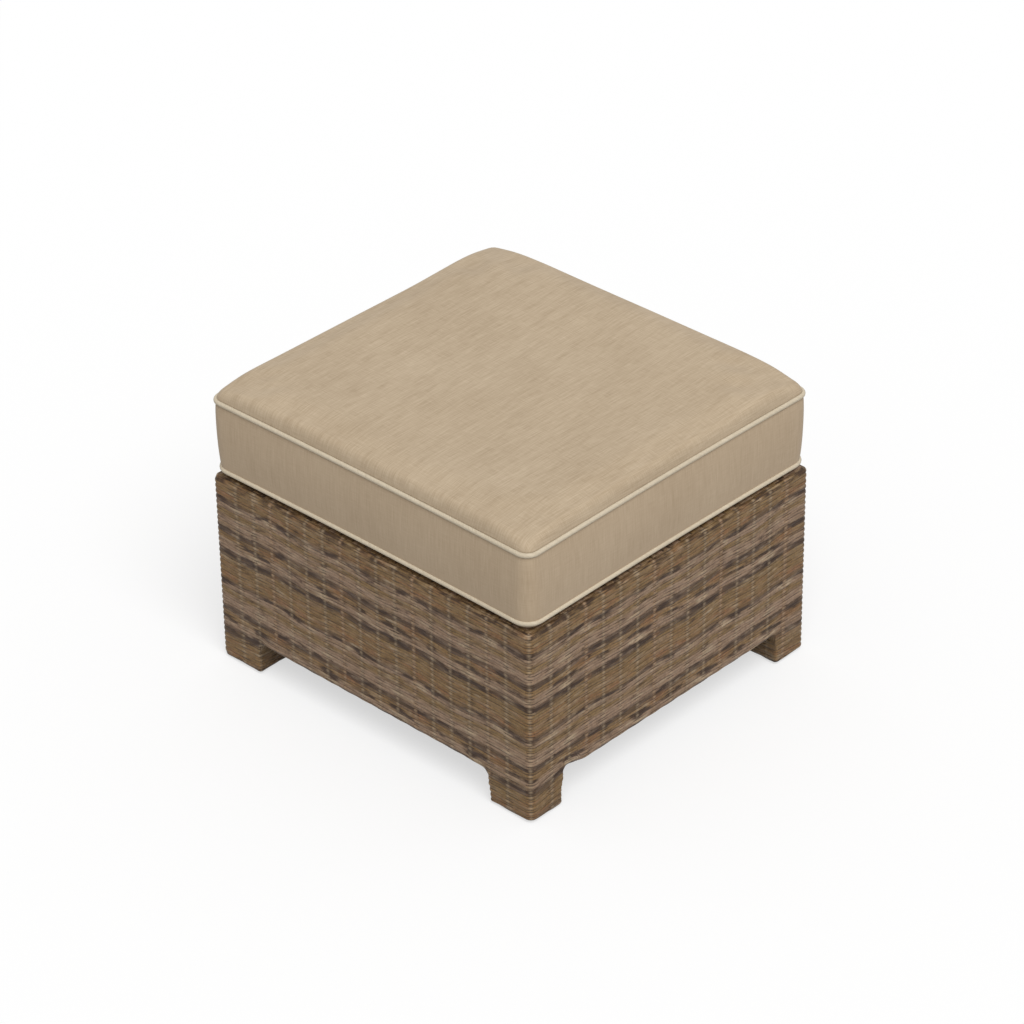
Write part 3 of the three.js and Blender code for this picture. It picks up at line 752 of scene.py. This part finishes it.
def build_side(side):
    """A wall between two corners, from the deck's edge over the rim and down to the lip under the apron"""
    foot, length = foot_length(side), side_lengths[side]
    local = spread_places((foot, foot + side_run, side_step),
                          (foot + side_run, length - foot - side_run, column_step),
                          (length - foot - side_run, length - foot, side_step),
                          skirt=skirt_width)
    near = np.clip(local - foot, 0, None)
    far = np.clip(length - foot - local, 0, None)
    near_reach, far_reach = (reach for rise, reach in apron_rise[side])
    rise = near_rise(side) * smooth(1 - near / near_reach) + far_rise(side) * smooth(1 - far / far_reach)
    to_foot = np.clip(notch_radius - np.minimum(near, far), 0, notch_radius)
    fillet = notch_radius - np.sqrt(notch_radius ** 2 - to_foot ** 2)
    low = apron_low + rise - fillet
    lip = (lip_depth - rim_radius) * smooth((apron_low + lip_start - low) / lip_fade)

    upper = np.arange(top_path, apron_knee, -row_step)[:, None] * np.ones(len(local))
    lower_length = upper[-1] - (low + rim_radius) + rim_radius * QUARTER + lip
    count = math.ceil(lower_length.max() / row_step)
    lower = upper[-1] - lower_length * (np.arange(1, count + 1)[:, None] / count)
    path = np.concatenate([upper, lower])
    along = side_starts[side] + local * np.ones(path.shape)
    phase = stake_phase(along)
    bent = path - rise * row_bend(path) - row_wave(phase, path)

    def placed(shift, level):
        x, y = perimeter_point(along[:len(level)], shift)
        return np.stack([x, y, level], -1)

    across = np.ones(len(local))
    underside = np.maximum(apron_low + wall, low + underside_rise)
    inner_out = [-wall * across] * 3 + [-rim_radius - np.maximum(lip, least_lip)]
    inner_height = [(rim_top - wall) * across, (rim_top + apron_low) / 2 * across, underside, underside]
    inner = placed(np.array(inner_out), np.array(inner_height))
    form = section(path, low, rim_radius, lip)
    return woven_wall(f"woven_wall_{side}", f"woven_side_{side}", form, placed, (along, phase, bent), inner)


corner_sides = {"front_left": ("left", "front"), "front_right": ("front", "right"),
                "back_right": ("right", "back"), "back_left": ("back", "left")}


def foot_rows(top, count):
    """Paths down a wall that ends in the sole of a foot"""
    end = foot_bottom + sole_radius - sole_radius * QUARTER
    return np.append(np.arange(top, end, -row_step), end)[:, None] * np.ones(count)


def inner_face(placed, levels, count):
    """Points of a foot wall's plain inner face at a few heights"""
    rows = np.array(levels)[:, None] * np.ones(count)
    return placed(np.full(rows.shape, -wall), rows)


def build_corner(corner):
    """Two walls that meet at a corner, from the rim down to the sole of the foot"""
    before, after = corner_sides[corner]
    start, end = -foot_length(before), foot_length(after)
    local = spread_places((start, start + foot_run, foot_step), (start + foot_run, -plan_radius, column_step),
                          (-plan_radius, plan_radius, corner_step),
                          (plan_radius, end - foot_run, column_step), (end - foot_run, end, foot_step),
                          skirt=skirt_width)
    path = foot_rows(top_path, len(local))
    along = side_starts[after] + local * np.ones(path.shape)
    phase = stake_phase(along)
    bent = path - corner_bend(before, after, local, path) - row_wave(phase, path)

    def placed(shift, level):
        columns = local * np.ones(level.shape)
        from_start, start_shift = turned_edge(columns - start, shift, foot_rounding(level, far_rise(before)))
        from_end, end_shift = turned_edge(end - columns, shift, foot_rounding(level, near_rise(after)))
        columns = np.where(columns < 0, start + from_start, end - from_end)
        shift = np.where(local < 0, start_shift, end_shift)
        x, y = perimeter_point(side_starts[after] + columns, shift)
        return np.stack([x, y, level], -1)

    levels = (rim_top - wall, apron_low, apron_low - 2 * notch_radius, foot_bottom + inner_foot_gap)
    inner = inner_face(placed, levels, len(local))
    form = section(path, foot_bottom, sole_radius, 0)
    return woven_wall(f"woven_corner_wall_{corner}", f"woven_corner_{corner}", form, placed,
                      (along, phase, bent), inner)


def build_lining(corner):
    """The two inner walls of a foot, which face the gaps under the apron"""
    before, after = corner_sides[corner]
    before_rise, after_rise = far_rise(before), near_rise(after)
    first_length, second_length = foot_length(after), foot_length(before)
    whole = first_length + second_length
    first = spread_places((0, foot_run, foot_step), (foot_run, first_length - bend_run, column_step),
                          (first_length - bend_run, first_length, bend_step))[:-1]
    second = spread_places((0, bend_run, bend_step), (bend_run, second_length - foot_run, column_step),
                           (second_length - foot_run, second_length, foot_step))[2:]
    local = np.concatenate([first, first_length + second])
    path = foot_rows(lining_top, len(local))
    start_phase = stake_phase(side_starts[after] - second_length)
    end_phase = stake_phase(side_starts[after] + first_length) - lining_stakes
    phase = start_phase + (end_phase - start_phase) * local / whole * np.ones(path.shape)
    along = side_starts[after] - second_length + local * np.ones(path.shape)
    rise = before_rise * smooth(1 - local / first_length)
    rise = rise + after_rise * smooth((local - first_length) / second_length)
    bent = path - rise * row_bend(path)
    (run_before, normal_before), (run_after, normal_after) = side_axes[before], side_axes[after]
    sign_x, sign_y = CORNERS[corner]
    edge = (sign_x * half_width, sign_y * half_depth)

    def placed(shift, level):
        columns = local * np.ones(level.shape)
        on_first = columns <= first_length
        radius = foot_rounding(level, np.where(on_first, before_rise, after_rise))
        near, near_shift = turned_edge(np.where(on_first, columns, whole - columns), shift, radius)
        near = np.maximum(near, full_proud * smooth(1 - radius / tucked_radius))
        from_bend = np.abs(columns - first_length)
        bend, bend_shift = turned_edge(from_bend, shift, np.minimum(radius + bend_growth, foot_edge_radius))
        by_bend = from_bend < foot_edge_radius + bend_growth
        reach = np.where(by_bend, np.where(on_first, first_length, second_length) - bend, near)
        pushed = np.where(by_bend, bend_shift, near_shift)
        plan = []
        for axis in range(2):
            at_first = edge[axis] - run_before[axis] * (second_length + pushed) - normal_before[axis] * reach
            at_second = edge[axis] + run_after[axis] * (first_length + pushed) - normal_after[axis] * reach
            plan.append(np.where(on_first, at_first, at_second))
        return np.stack([*plan, level], -1)

    levels = (lining_top - lining_gap, *lining_levels, foot_bottom + inner_foot_gap)
    inner = inner_face(placed, levels, len(local))
    form = section(path, foot_bottom, sole_radius, 0)
    return woven_wall(f"foot_inner_wall_{corner}", f"foot_lining_{corner}", form, placed,
                      (along, phase, bent), inner, 1, inner_wicker, False)


# Deck under the cushion
deck_strand = 12 * MM
deck_step = 3 * MM
deck_swing = 1.3 * MM
deck_rise = 0.8 * MM
deck_weft_row = 60


def build_deck():
    """Flat strands woven over and under each other, under the cushion"""
    low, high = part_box("woven_deck")
    across = np.linspace(low.x, high.x, round((high.x - low.x) / deck_step) + 1)
    along = np.linspace(low.y, high.y, round((high.y - low.y) / deck_step) + 1)
    x, y = np.meshgrid(across, along)
    strands = []
    for run, side, start in ((y, x, -0.5), (x, y, 0.5)):
        strand = np.floor(side / deck_strand)
        off_middle = np.abs((side / deck_strand) % 1 - 0.5) * 2
        body = np.sqrt(np.clip(1 - off_middle ** 4, 0, 1))
        swing = np.cos(math.pi * (run / deck_strand + start + strand))
        strands.append((deck_swing * swing + deck_rise * body, strand, body, swing, run))
    upper = strands[0][0] > strands[1][0]
    proud, strand, body, swing, run = (np.where(upper, a, b) for a, b in zip(*strands))
    height = high.z + proud - deck_swing - deck_rise
    rows, columns = x.shape
    top = np.stack([x, y, height], -1).reshape(-1, 3)
    base = np.array([(corner_x, corner_y, low.z) for corner_x, corner_y in
                     ((low.x, low.y), (high.x, low.y), (high.x, high.y), (low.x, high.y))])
    faces = grid_faces(rows, columns)
    woven = len(faces)
    count = rows * columns
    edges = [list(range(columns)), list(range(columns - 1, count, columns)),
             list(range(count - 1, count - columns - 1, -1)), list(range(count - columns, -1, -columns))]
    for n, edge in enumerate(edges):
        faces.append(tuple(reversed(edge)) + (count + n, count + (n + 1) % 4))
    faces.append(tuple(count + n for n in reversed(range(4))))
    piece = new_piece("woven_seat_deck", np.concatenate([top, base]), faces, wicker)
    outward_faces(piece)
    between_stakes = np.full(x.shape, 0.5)
    for name, values in (("weave", (run, high.z + y, body)),
                         ("place", (between_stakes, between_stakes, swing))):
        set_vectors(piece, name, np.concatenate([np.stack(values, -1).reshape(-1, 3), np.zeros((4, 3))]))
    face_rows = np.zeros(len(faces), np.float32)
    face_rows[:woven] = np.where(upper, strand, strand + deck_weft_row)[:-1, :-1].ravel()
    set_rows(piece, face_rows)
    return settle(piece, "base", "wicker", "woven_deck")


# Cushion: one ring of columns round the seams carries the box strip and the edges of both panels
top_corner_radius = 19 * MM
low_corner_radius = 26 * MM
side_draw = 3 * MM
edge_places = [place * MM for place in (0, 2, 4.5, 7.5, 11, 15, 20, 26)]
panel_step = 6.8 * MM
edge_rise = 25 * MM
edge_band = 14 * MM
crown_rise = 2.5 * MM
crown_power = 0.6
corner_softness = 0.42
corner_reach = 40 * MM
back_fullness = 6 * MM
back_start_share = 2 / 7
back_reach = 75 * MM
back_left_softness = 0.28
swell_size = 0.8 * MM
swell_band = 60 * MM
swell_waves_x = 21
swell_waves_y = 17
strip_rows = 9
unrolled_band = 30 * MM
sole_shift = 1.0
strip_shift = 2.0
strip_swell = 3.2 * MM
strip_power = 0.6
cover_thickness = 1.2 * MM
filling_rows = 40
filling_gap = 1 * MM
filling_edge = 1 * MM
fibre_drop = 2.5 * MM
plump_squareness = 8
plump_power = 0.35
piping_swell = 0.9 * MM
piping_sides = 14
piping_slant = 0.7
fill_pressure = 4.0
fill_frames = 20
fill_reach = 5 * MM
fill_shrink = 0.8 * MM
fill_smoothing = 8
back_share = 0.9


def panel_shares(half):
    """Shares from -1 to 1 of a panel's half size, closer together near the seams"""
    near_seam = [half - place for place in reversed(edge_places)]
    inner = []
    for first, last in ((0, zip_panel_half), (zip_panel_half, near_seam[0])):
        inner.extend(np.linspace(first, last, round((last - first) / panel_step) + 1)[:-1])
    right = np.array(inner + near_seam)
    return np.concatenate([-right[:0:-1], right]) / half


def outline_point(share, half_run, half_reach, radius):
    """A point of the front edge of a rounded rectangle, half of whose corner arcs belong to it"""
    straight = half_run - radius
    walked = np.abs(share) * (straight + radius * QUARTER / 2)
    turn = np.clip((walked - straight) / radius, 0, None)
    run = np.minimum(walked, straight) + radius * np.sin(turn)
    return np.sign(share) * run, -(half_reach - radius) - radius * np.cos(turn)


def drawn_in(x, y):
    """Pulls the sides in between the corners"""
    pull_x = side_draw * (1 - (y / seam_half_depth) ** 2) * (x / seam_half_width) ** 2
    pull_y = side_draw * (1 - (x / seam_half_width) ** 2) * (y / seam_half_depth) ** 2
    return x - np.sign(x) * pull_x, y - np.sign(y) * pull_y


corner_saving = (top_corner_radius + low_corner_radius) / 2 * (1 - QUARTER / 2)
shares_x = panel_shares(seam_half_width - corner_saving)
shares_y = panel_shares(seam_half_depth - corner_saving)


def panel_plan(radius):
    """Plan places of a panel's grid: a patch stretched over the four sides of the seam"""
    front_x, front_y = outline_point(shares_x, seam_half_width, seam_half_depth, radius)
    right_y, right_x = outline_point(shares_y, seam_half_depth, seam_half_width, radius)
    corner_x, corner_y = front_x[-1], right_y[-1]
    x = front_x[None, :] + shares_x[None, :] * (-right_x[:, None] - corner_x)
    y = right_y[:, None] - shares_y[:, None] * (front_y[None, :] + corner_y)
    return drawn_in(x, y)


def seam_distance(x, y, radius):
    """Distance inwards from the seam line"""
    edge_x = drawn_in(np.full_like(x, seam_half_width), y)[0]
    edge_y = drawn_in(x, np.full_like(y, seam_half_depth))[1]
    over_x = np.abs(x) - (edge_x - radius)
    over_y = np.abs(y) - (edge_y - radius)
    outside = np.hypot(np.clip(over_x, 0, None), np.clip(over_y, 0, None))
    return radius - outside - np.minimum(np.maximum(over_x, over_y), 0)


def roll(distance, band):
    """Quarter-round rise from the seam: from 0 to 1 over the band"""
    return np.sqrt(1 - (1 - np.clip(distance / band, 0, 1)) ** 2)


def top_height(x, y):
    distance = seam_distance(x, y, top_corner_radius)
    to_corner = np.hypot(seam_half_width - np.abs(x), seam_half_depth - np.abs(y))
    softness = np.where((x < 0) & (y > 0), back_left_softness, corner_softness)
    corner_drop = 1 - softness * np.exp(-(to_corner / corner_reach) ** 2)
    dome = (1 - (x / seam_half_width) ** 2) * (1 - (y / seam_half_depth) ** 2)
    waves = np.sin(x * swell_waves_x + 1.0) * np.sin(y * swell_waves_y + 2.0)
    swell = waves * swell_size * roll(distance, swell_band)
    at_back = smooth((y / seam_half_depth - back_start_share) / (1 - back_start_share))
    at_back = at_back * (1 - np.exp(-(to_corner / back_reach) ** 2))
    rise = (edge_rise + back_fullness * at_back) * roll(distance, edge_band) * corner_drop
    return high_seam + rise + crown_rise * dome ** crown_power + swell


def bottom_height(x, y):
    distance = seam_distance(x, y, low_corner_radius)
    return low_seam - (low_seam - cushion_sole) * roll(distance, edge_band)


def ring_order(grid):
    """The border of a panel's grid, walked from the front left corner, anticlockwise from above"""
    return np.concatenate([grid[0, :-1], grid[:-1, -1], grid[-1, :0:-1], grid[:0:-1, 0]])


def ring_points():
    """Box strip: rows of columns between the seams, swollen out at mid height"""
    top_x, top_y = panel_plan(top_corner_radius)
    low_x, low_y = panel_plan(low_corner_radius)
    start = np.stack([ring_order(low_x), ring_order(low_y)], -1)
    end = np.stack([ring_order(top_x), ring_order(top_y)], -1)
    along = np.roll(end, -1, 0) - np.roll(end, 1, 0)
    along /= np.linalg.norm(along, axis=1)[:, None]
    out = np.stack([along[:, 1], -along[:, 0]], -1)
    levels = strip_levels()
    points = []
    for level in levels:
        share = (level - low_seam) / (high_seam - low_seam)
        swell = strip_swell * (4 * share * (1 - share)) ** strip_power
        plan = start + (end - start) * share + out * swell
        points.append(np.column_stack([plan, np.full(len(plan), level)]))
    return np.array(points)


def distance_walked(line):
    """Distance along a line up to each of its points"""
    return np.cumsum(np.linalg.norm(np.diff(line, axis=0, prepend=line[:1]), axis=1))


def strip_levels():
    """Heights of the box strip's rows, with one at each edge of the zip's slot"""
    lower = np.linspace(low_seam, slot_low, strip_rows)
    upper = np.linspace(slot_high, high_seam, strip_rows)
    return np.concatenate([lower, [(slot_low + slot_high) / 2], upper])


def flat_cloth(across, along):
    """Places on the cloth, across and along its warp"""
    return np.column_stack([across, along, np.zeros(len(across))])


def unrolled(points):
    """Plan coordinates of the top panel as cut flat: its rolled edges spread outwards"""
    x, y = points[:, 0], points[:, 1]
    drop = high_seam + edge_rise - np.minimum(points[:, 2], high_seam + edge_rise)
    nearer_side = (np.abs(x) - seam_half_width) - (np.abs(y) - seam_half_depth)
    by_side = smooth(nearer_side / unrolled_band + 0.5)
    return flat_cloth(x + np.sign(x) * drop * by_side, y + np.sign(y) * drop * (1 - by_side))


COVER_PANELS = ("top_panel", "bottom_panel", "boxing_strip", "zip_panel_lower", "zip_panel_upper")


def cover_parts():
    """Points of the whole cover and the faces of each of its cut pieces"""
    top_x, top_y = panel_plan(top_corner_radius)
    low_x, low_y = panel_plan(low_corner_radius)
    grid = top_x.size
    order = ring_order(np.arange(grid).reshape(top_x.shape))
    ring = ring_points()
    ring_count = len(order)
    top = np.stack([top_x, top_y, top_height(top_x, top_y)], -1).reshape(-1, 3)
    low = np.stack([low_x, low_y, bottom_height(low_x, low_y)], -1).reshape(-1, 3)
    points = np.concatenate([top, low, ring[1:-1].reshape(-1, 3)])
    cloth = [unrolled(top), flat_cloth(low[:, 0] + sole_shift, low[:, 1])]
    walked = distance_walked(ring[0])
    cloth += [flat_cloth(walked + strip_shift, level[:, 2]) for level in ring[1:-1]]
    between = [2 * grid + r * ring_count + np.arange(ring_count) for r in range(len(ring) - 2)]
    rows = [grid + order] + between + [order]
    panels = {name: [] for name in COVER_PANELS}
    panels["top_panel"] = grid_faces(*top_x.shape)
    panels["bottom_panel"] = [tuple(reversed(face)) for face in grid_faces(*low_x.shape, grid)]
    middle = (ring[0] + np.roll(ring[0], -1, 0)) / 2
    slot = []
    levels = strip_levels()
    for r in range(len(rows) - 1):
        height = (levels[r] + levels[r + 1]) / 2
        for c in range(ring_count):
            n = (c + 1) % ring_count
            face = (rows[r][c], rows[r][n], rows[r + 1][n], rows[r + 1][c])
            at_back = middle[c][1] > back_share * seam_half_depth and abs(middle[c][0]) < zip_panel_half
            if not at_back:
                panels["boxing_strip"].append(face)
            elif height < slot_low:
                panels["zip_panel_lower"].append(face)
            elif height > slot_high:
                panels["zip_panel_upper"].append(face)
            else:
                slot.append(face)
    return points, np.concatenate(cloth), panels, slot, order, grid


def filled_out(points, faces, held):
    """The sewn cover blown out by its filling: a cloth simulation, with its seams and sole held"""
    shell = new_piece("cover_blank", points, faces)
    normals = np.array([point.normal for point in shell.data.vertices])
    edges = np.empty(2 * len(shell.data.edges), np.int32)
    shell.data.edges.foreach_get("vertices", edges)
    held_group = shell.vertex_groups.new(name="held")
    held_group.add([int(point) for point in held], 1.0, "ADD")
    cloth = shell.modifiers.new("filling_out", "CLOTH")
    cloth.settings.quality = 5
    cloth.settings.mass = 0.2
    cloth.settings.use_pressure = True
    cloth.settings.uniform_pressure_force = fill_pressure
    cloth.settings.tension_stiffness = cloth.settings.compression_stiffness = 15
    cloth.settings.shear_stiffness = 5
    cloth.settings.bending_stiffness = 2
    cloth.settings.effector_weights.gravity = 0
    cloth.settings.vertex_group_mass = "held"
    cloth.point_cache.frame_end = fill_frames
    for frame_number in range(1, fill_frames + 1):
        bpy.context.scene.frame_set(frame_number)
    settled = shell.evaluated_get(bpy.context.evaluated_depsgraph_get())
    places = np.empty(3 * len(points), np.float32)
    settled.data.vertices.foreach_get("co", places)
    blank = shell.data
    bpy.data.objects.remove(shell)
    bpy.data.meshes.remove(blank)
    bpy.context.scene.frame_set(1)
    swell = np.clip(((places.reshape(-1, 3) - points) * normals).sum(1), -fill_shrink, fill_reach)
    first, second = edges.reshape(-1, 2).T
    shared = np.bincount(edges, minlength=len(points))
    for _ in range(fill_smoothing):
        around = np.bincount(first, swell[second], len(points))
        around = around + np.bincount(second, swell[first], len(points))
        swell = (swell + around / shared) / 2
    swell[held] = 0
    return points + normals * swell[:, None]


def held_points(grid, order, panels):
    """Seams, the flat sole and the zip's panels, which the filling doesn't move"""
    zip_faces = panels["zip_panel_lower"] + panels["zip_panel_upper"]
    zip_points = {corner for face in zip_faces for corner in face}
    return sorted(set(range(grid, 2 * grid)) | set(order.tolist()) | zip_points)


def build_cover():
    points, cloth, panels, slot, order, grid = cover_parts()
    every_face = [face for faces in panels.values() for face in faces] + slot
    points = filled_out(points, every_face, held_points(grid, order, panels))
    for name, faces in panels.items():
        used = sorted({int(corner) for face in faces for corner in face})
        renumbered = {old: new for new, old in enumerate(used)}
        own_faces = [tuple(renumbered[int(corner)] for corner in face) for face in faces]
        finish = top_canvas if name == "top_panel" else side_canvas
        piece = new_piece(f"cover_{name}", points[used], own_faces, finish)
        set_vectors(piece, "cloth", cloth[used])
        finer = piece.modifiers.new("finer", "SUBSURF")
        finer.levels = finer.render_levels = 1
        thick = piece.modifiers.new("thickness", "SOLIDIFY")
        thick.thickness = cover_thickness
        thick.offset = -1
        settle(piece, "cushion", "cover_fabric", name)
    return points, order, grid


def cord_rings(line, ahead, reference, radius, sides):
    """Rings of points round a line, square to it"""
    ahead = ahead / np.linalg.norm(ahead, axis=1)[:, None]
    side = np.cross(ahead, reference)
    side /= np.linalg.norm(side, axis=1)[:, None]
    up = np.cross(side, ahead)
    angles = 2 * math.pi * np.arange(sides) / sides
    return np.stack([line + radius * (math.cos(angle) * side + math.sin(angle) * up) for angle in angles], 1)


def build_piping(points, order, grid):
    """Piping in both seams: a round cord, its cloth wound round it on the slant"""
    radius = piping_radius + piping_swell
    for name, first in (("piping_top", 0), ("piping_bottom", grid)):
        line = points[first + order]
        count = len(line)
        ahead = np.roll(line, -1, 0) - np.roll(line, 1, 0)
        rings = cord_rings(line, ahead, (0.0, 0.0, 1.0), radius, piping_sides)
        arc = 2 * math.pi * radius * np.arange(piping_sides) / piping_sides
        walked = distance_walked(line)[:, None]
        cloth = flat_cloth((walked + arc).ravel(), (walked - arc).ravel()) * piping_slant
        faces = [tuple(corner % (count * piping_sides) for corner in face)
                 for face in grid_faces(count + 1, piping_sides, closed=True)]
        piece = new_piece(f"{name}_cord", rings.reshape(-1, 3), faces, cord_canvas)
        set_vectors(piece, "cloth", cloth)
        outward_faces(piece)
        settle(piece, "cushion", "piping_fabric", name)


def build_filling():
    """Foam block and the fibre laid over and under it, inside the cover"""
    share = np.linspace(-1, 1, filling_rows)
    x, y = np.meshgrid(share, share)
    plump = ((1 - x ** plump_squareness) * (1 - y ** plump_squareness)) ** plump_power
    inner = np.zeros(x.shape, bool)
    inner[1:-1, 1:-1] = True
    inner = inner.ravel()
    lower = np.arange(x.size)
    lower[inner] = x.size + np.arange(inner.sum())
    faces = grid_faces(filling_rows, filling_rows)
    faces += [tuple(int(lower[corner]) for corner in reversed(face)) for face in faces]
    for name, finish in (("foam_core", grained["foam"]), ("fibre_over_foam", fibre),
                         ("fibre_under_foam", fibre)):
        low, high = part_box(name)
        half_x, half_y = high.x - filling_gap, high.y - filling_gap
        rim, crown = {
            "foam_core": ((low.z + high.z) / 2, high.z),
            "fibre_over_foam": (low.z + filling_edge, high.z - fibre_drop),
            "fibre_under_foam": (high.z - filling_edge, high.z),
        }[name]
        top, base = (np.stack([x * half_x, y * half_y, rim + (end - rim) * plump], -1).reshape(-1, 3)
                     for end in (crown, low.z))
        piece = new_piece(f"{name}_filling", np.concatenate([top, base[inner]]), faces, finish)
        outward_faces(piece)
        settle(piece, "cushion", "foam" if name == "foam_core" else "fibre", name)


# Zip
tape_thickness = 0.6 * MM
coil_pitch = 1.6 * MM
coil_steps = 10
coil_rise = 0.72 * MM
coil_half = 1.5 * MM
coil_lock = 0.55 * MM
coil_wire = 0.26 * MM
coil_sides = 6
tape_steps = 230
stitch_inset = 2.6 * MM
stitch_length = 3.2 * MM
stitch_rise = 0.35 * MM
thread_radius = 0.35 * MM
stitch_share = 0.8
stitch_end_share = 0.05
stitch_steps = 7
stitch_sides = 5


def tube_faces(rows, columns, first=0):
    """Faces of a closed tube stored ring by ring, with both of its ends"""
    last = first + (rows - 1) * columns
    ends = [tuple(range(first, first + columns)), tuple(reversed(range(last, last + columns)))]
    return grid_faces(rows, columns, first, closed=True) + ends


def build_zip():
    """Zip tapes with their coils of teeth, which lock in the middle of the slot"""
    middle = (zip_low[1].z + zip_high[0].z) / 2
    for name, (low, high), inward in (("zip_tape_lower", zip_low, 1), ("zip_tape_upper", zip_high, -1)):
        near, far = (high.z, low.z) if inward > 0 else (low.z, high.z)
        profile = [(far, low.y + tape_thickness), (near, low.y + tape_thickness), (near, low.y), (far, low.y)]
        points = [(x, y, z) for x in np.linspace(low.x, high.x, tape_steps) for z, y in profile]
        faces = tube_faces(tape_steps, len(profile))
        tape = new_piece(f"{name}_cloth", points, faces, grained["zip_tape_cloth"])
        outward_faces(tape)
        settle(tape, "cushion", "zip_tape", name)

        turns = int((high.x - low.x - 2 * coil_pitch) / coil_pitch)
        turn = np.arange(turns * coil_steps + 1) / coil_steps + (0.5 if inward > 0 else 0)
        x = low.x + coil_pitch / 2 + turn * coil_pitch
        y = low.y + tape_thickness + coil_rise + coil_rise * np.sin(2 * math.pi * turn)
        z = middle - inward * (coil_half - coil_lock) + inward * coil_half * np.cos(2 * math.pi * turn)
        line = np.column_stack([x, y, z])
        rings = cord_rings(line, np.gradient(line, axis=0), (1.0, 0.0, 0.0), coil_wire, coil_sides)
        teeth = new_piece(f"{name}_teeth", rings.reshape(-1, 3), tube_faces(len(line), coil_sides),
                          grained["zip_coil"])
        outward_faces(teeth)
        settle(teeth, "cushion", "zip_tape")


def build_stitches(points, order, grid):
    """Two rows of stitches that hold the zip's tapes to the back panels"""
    ring_count = len(order)
    levels = strip_levels()
    turns = np.linspace(0, math.pi, stitch_steps)
    width = thread_radius * np.sqrt(np.clip(np.sin(turns), stitch_end_share, 1))
    angles = np.arange(stitch_sides) * 2 * math.pi / stitch_sides
    reach = zip_panel_half - 2 * stitch_length
    for name, edge, beyond in (("lower", strip_rows - 1, -1), ("upper", strip_rows + 1, 1)):
        first = 2 * grid + (edge - 1) * ring_count
        edge_line, next_line = (points[first + shift * ring_count:first + (shift + 1) * ring_count]
                                for shift in (0, beyond))
        share = stitch_inset / abs(levels[edge + beyond] - levels[edge])
        line = edge_line * (1 - share) + next_line * share
        line = line[line[:, 1] > back_share * seam_half_depth]
        line = line[np.argsort(line[:, 0])]
        rings, faces = [], []
        for start in np.arange(-reach, reach, stitch_length):
            x = start + stitch_share * stitch_length * (1 - np.cos(turns)) / 2
            y = np.interp(x, line[:, 0], line[:, 1]) + stitch_rise * np.sin(turns)
            z = np.interp(x, line[:, 0], line[:, 2])
            faces += tube_faces(stitch_steps, stitch_sides, len(rings) * stitch_sides)
            for centre, radius in zip(np.column_stack([x, y, z]), width):
                rings.append([centre + radius * np.array([0, math.cos(a), math.sin(a)]) for a in angles])
        rings = np.array(rings).reshape(-1, 3)
        piece = new_piece(f"zip_stitches_{name}", rings, faces, grained["sewing_thread"])
        outward_faces(piece)
        settle(piece, "cushion", "piping_fabric")


def dress_frame():
    """The finishes of the nodes that are shown as they are"""
    finishes = {"frame_coating": "powder_coat", "glide_nylon": "glide_nylon",
                "screw_steel": "screw_steel", "zip_metal": "zip_metal"}
    slots = {part["node"]: part["material_slot"] for part in frame["record"]["subparts"]}
    for name, node in frame["nodes"].items():
        if slots[name] in finishes:
            for place in node.material_slots:
                place.material = grained[finishes[slots[name]]].material


# Studio
sky_strength = 0.5
key_light = (0.30, -0.18, 0.50)
floor_tone = 0.4
floor_glow = 0.6
floor_reach = 40.0

# Camera, as fitted to the photo
camera_place = (3.41739, -3.56423, 3.39702)
camera_azimuth = math.radians(43.78047)
camera_elevation = math.radians(32.53299)
camera_roll = math.radians(-0.90678)
camera_lens = 140.24707


def build_floor():
    finish = Finish("white_floor", {"Base Color": (floor_tone, floor_tone, floor_tone, 1), "Roughness": 1.0,
                                    "Specular IOR Level": 0.0})
    white = finish.node("ShaderNodeBsdfDiffuse", {}, {"Color": (1, 1, 1, 1)})
    glow = finish.node("ShaderNodeEmission", {}, {"Color": (1, 1, 1, 1), "Strength": 1.0})
    shown = finish.node("ShaderNodeMixShader", {}, {0: floor_glow, 1: white, 2: glow})
    plain = Value(finish, finish.shader.outputs[0])
    surface = finish.node("ShaderNodeMixShader", {}, {0: finish.seen_directly(), 1: plain, 2: shown})
    finish.tree.links.new(surface.socket, finish.tree.nodes["Material Output"].inputs["Surface"])
    corners = [(x * floor_reach, y * floor_reach, 0) for x, y in ((-1, -1), (1, -1), (1, 1), (-1, 1))]
    new_piece("floor", corners, [(0, 1, 2, 3)], finish)


def build_lights():
    world = bpy.data.worlds.new("studio")
    bpy.context.scene.world = world
    world.use_nodes = True
    sky = Nodes(world.node_tree)
    background = sky.tree.nodes["Background"]
    background.inputs["Color"].default_value = (1, 1, 1, 1)
    strength = sky.seen_directly() * (1 - sky_strength) + sky_strength
    sky.tree.links.new(strength.socket, background.inputs["Strength"])
    lamp = bpy.data.lights.new("key", "SUN")
    lamp.energy = Vector(key_light).length * math.pi
    lamp.angle = math.radians(40)
    new_object("key", lamp).rotation_euler = Vector(key_light).to_track_quat("Z", "Y").to_euler()


def build_camera():
    camera = bpy.data.cameras.new("camera")
    camera.lens = camera_lens
    camera.sensor_width = 36.0
    camera.clip_end = 200.0
    view = new_object("camera", camera)
    turned = Matrix.Rotation(camera_azimuth, 4, "Z") @ Matrix.Rotation(QUARTER - camera_elevation, 4, "X")
    view.matrix_world = Matrix.Translation(camera_place) @ turned @ Matrix.Rotation(camera_roll, 4, "Z")
    bpy.context.scene.camera = view


for side in SIDES:
    build_side(side)
for corner in CORNERS:
    build_corner(corner)
    build_lining(corner)
build_deck()
cover_points, seam_order, seam_grid = build_cover()
build_piping(cover_points, seam_order, seam_grid)
build_filling()
build_zip()
build_stitches(cover_points, seam_order, seam_grid)
dress_frame()
build_floor()
build_lights()
build_camera()
bpy.context.scene.view_settings.view_transform = "Standard"
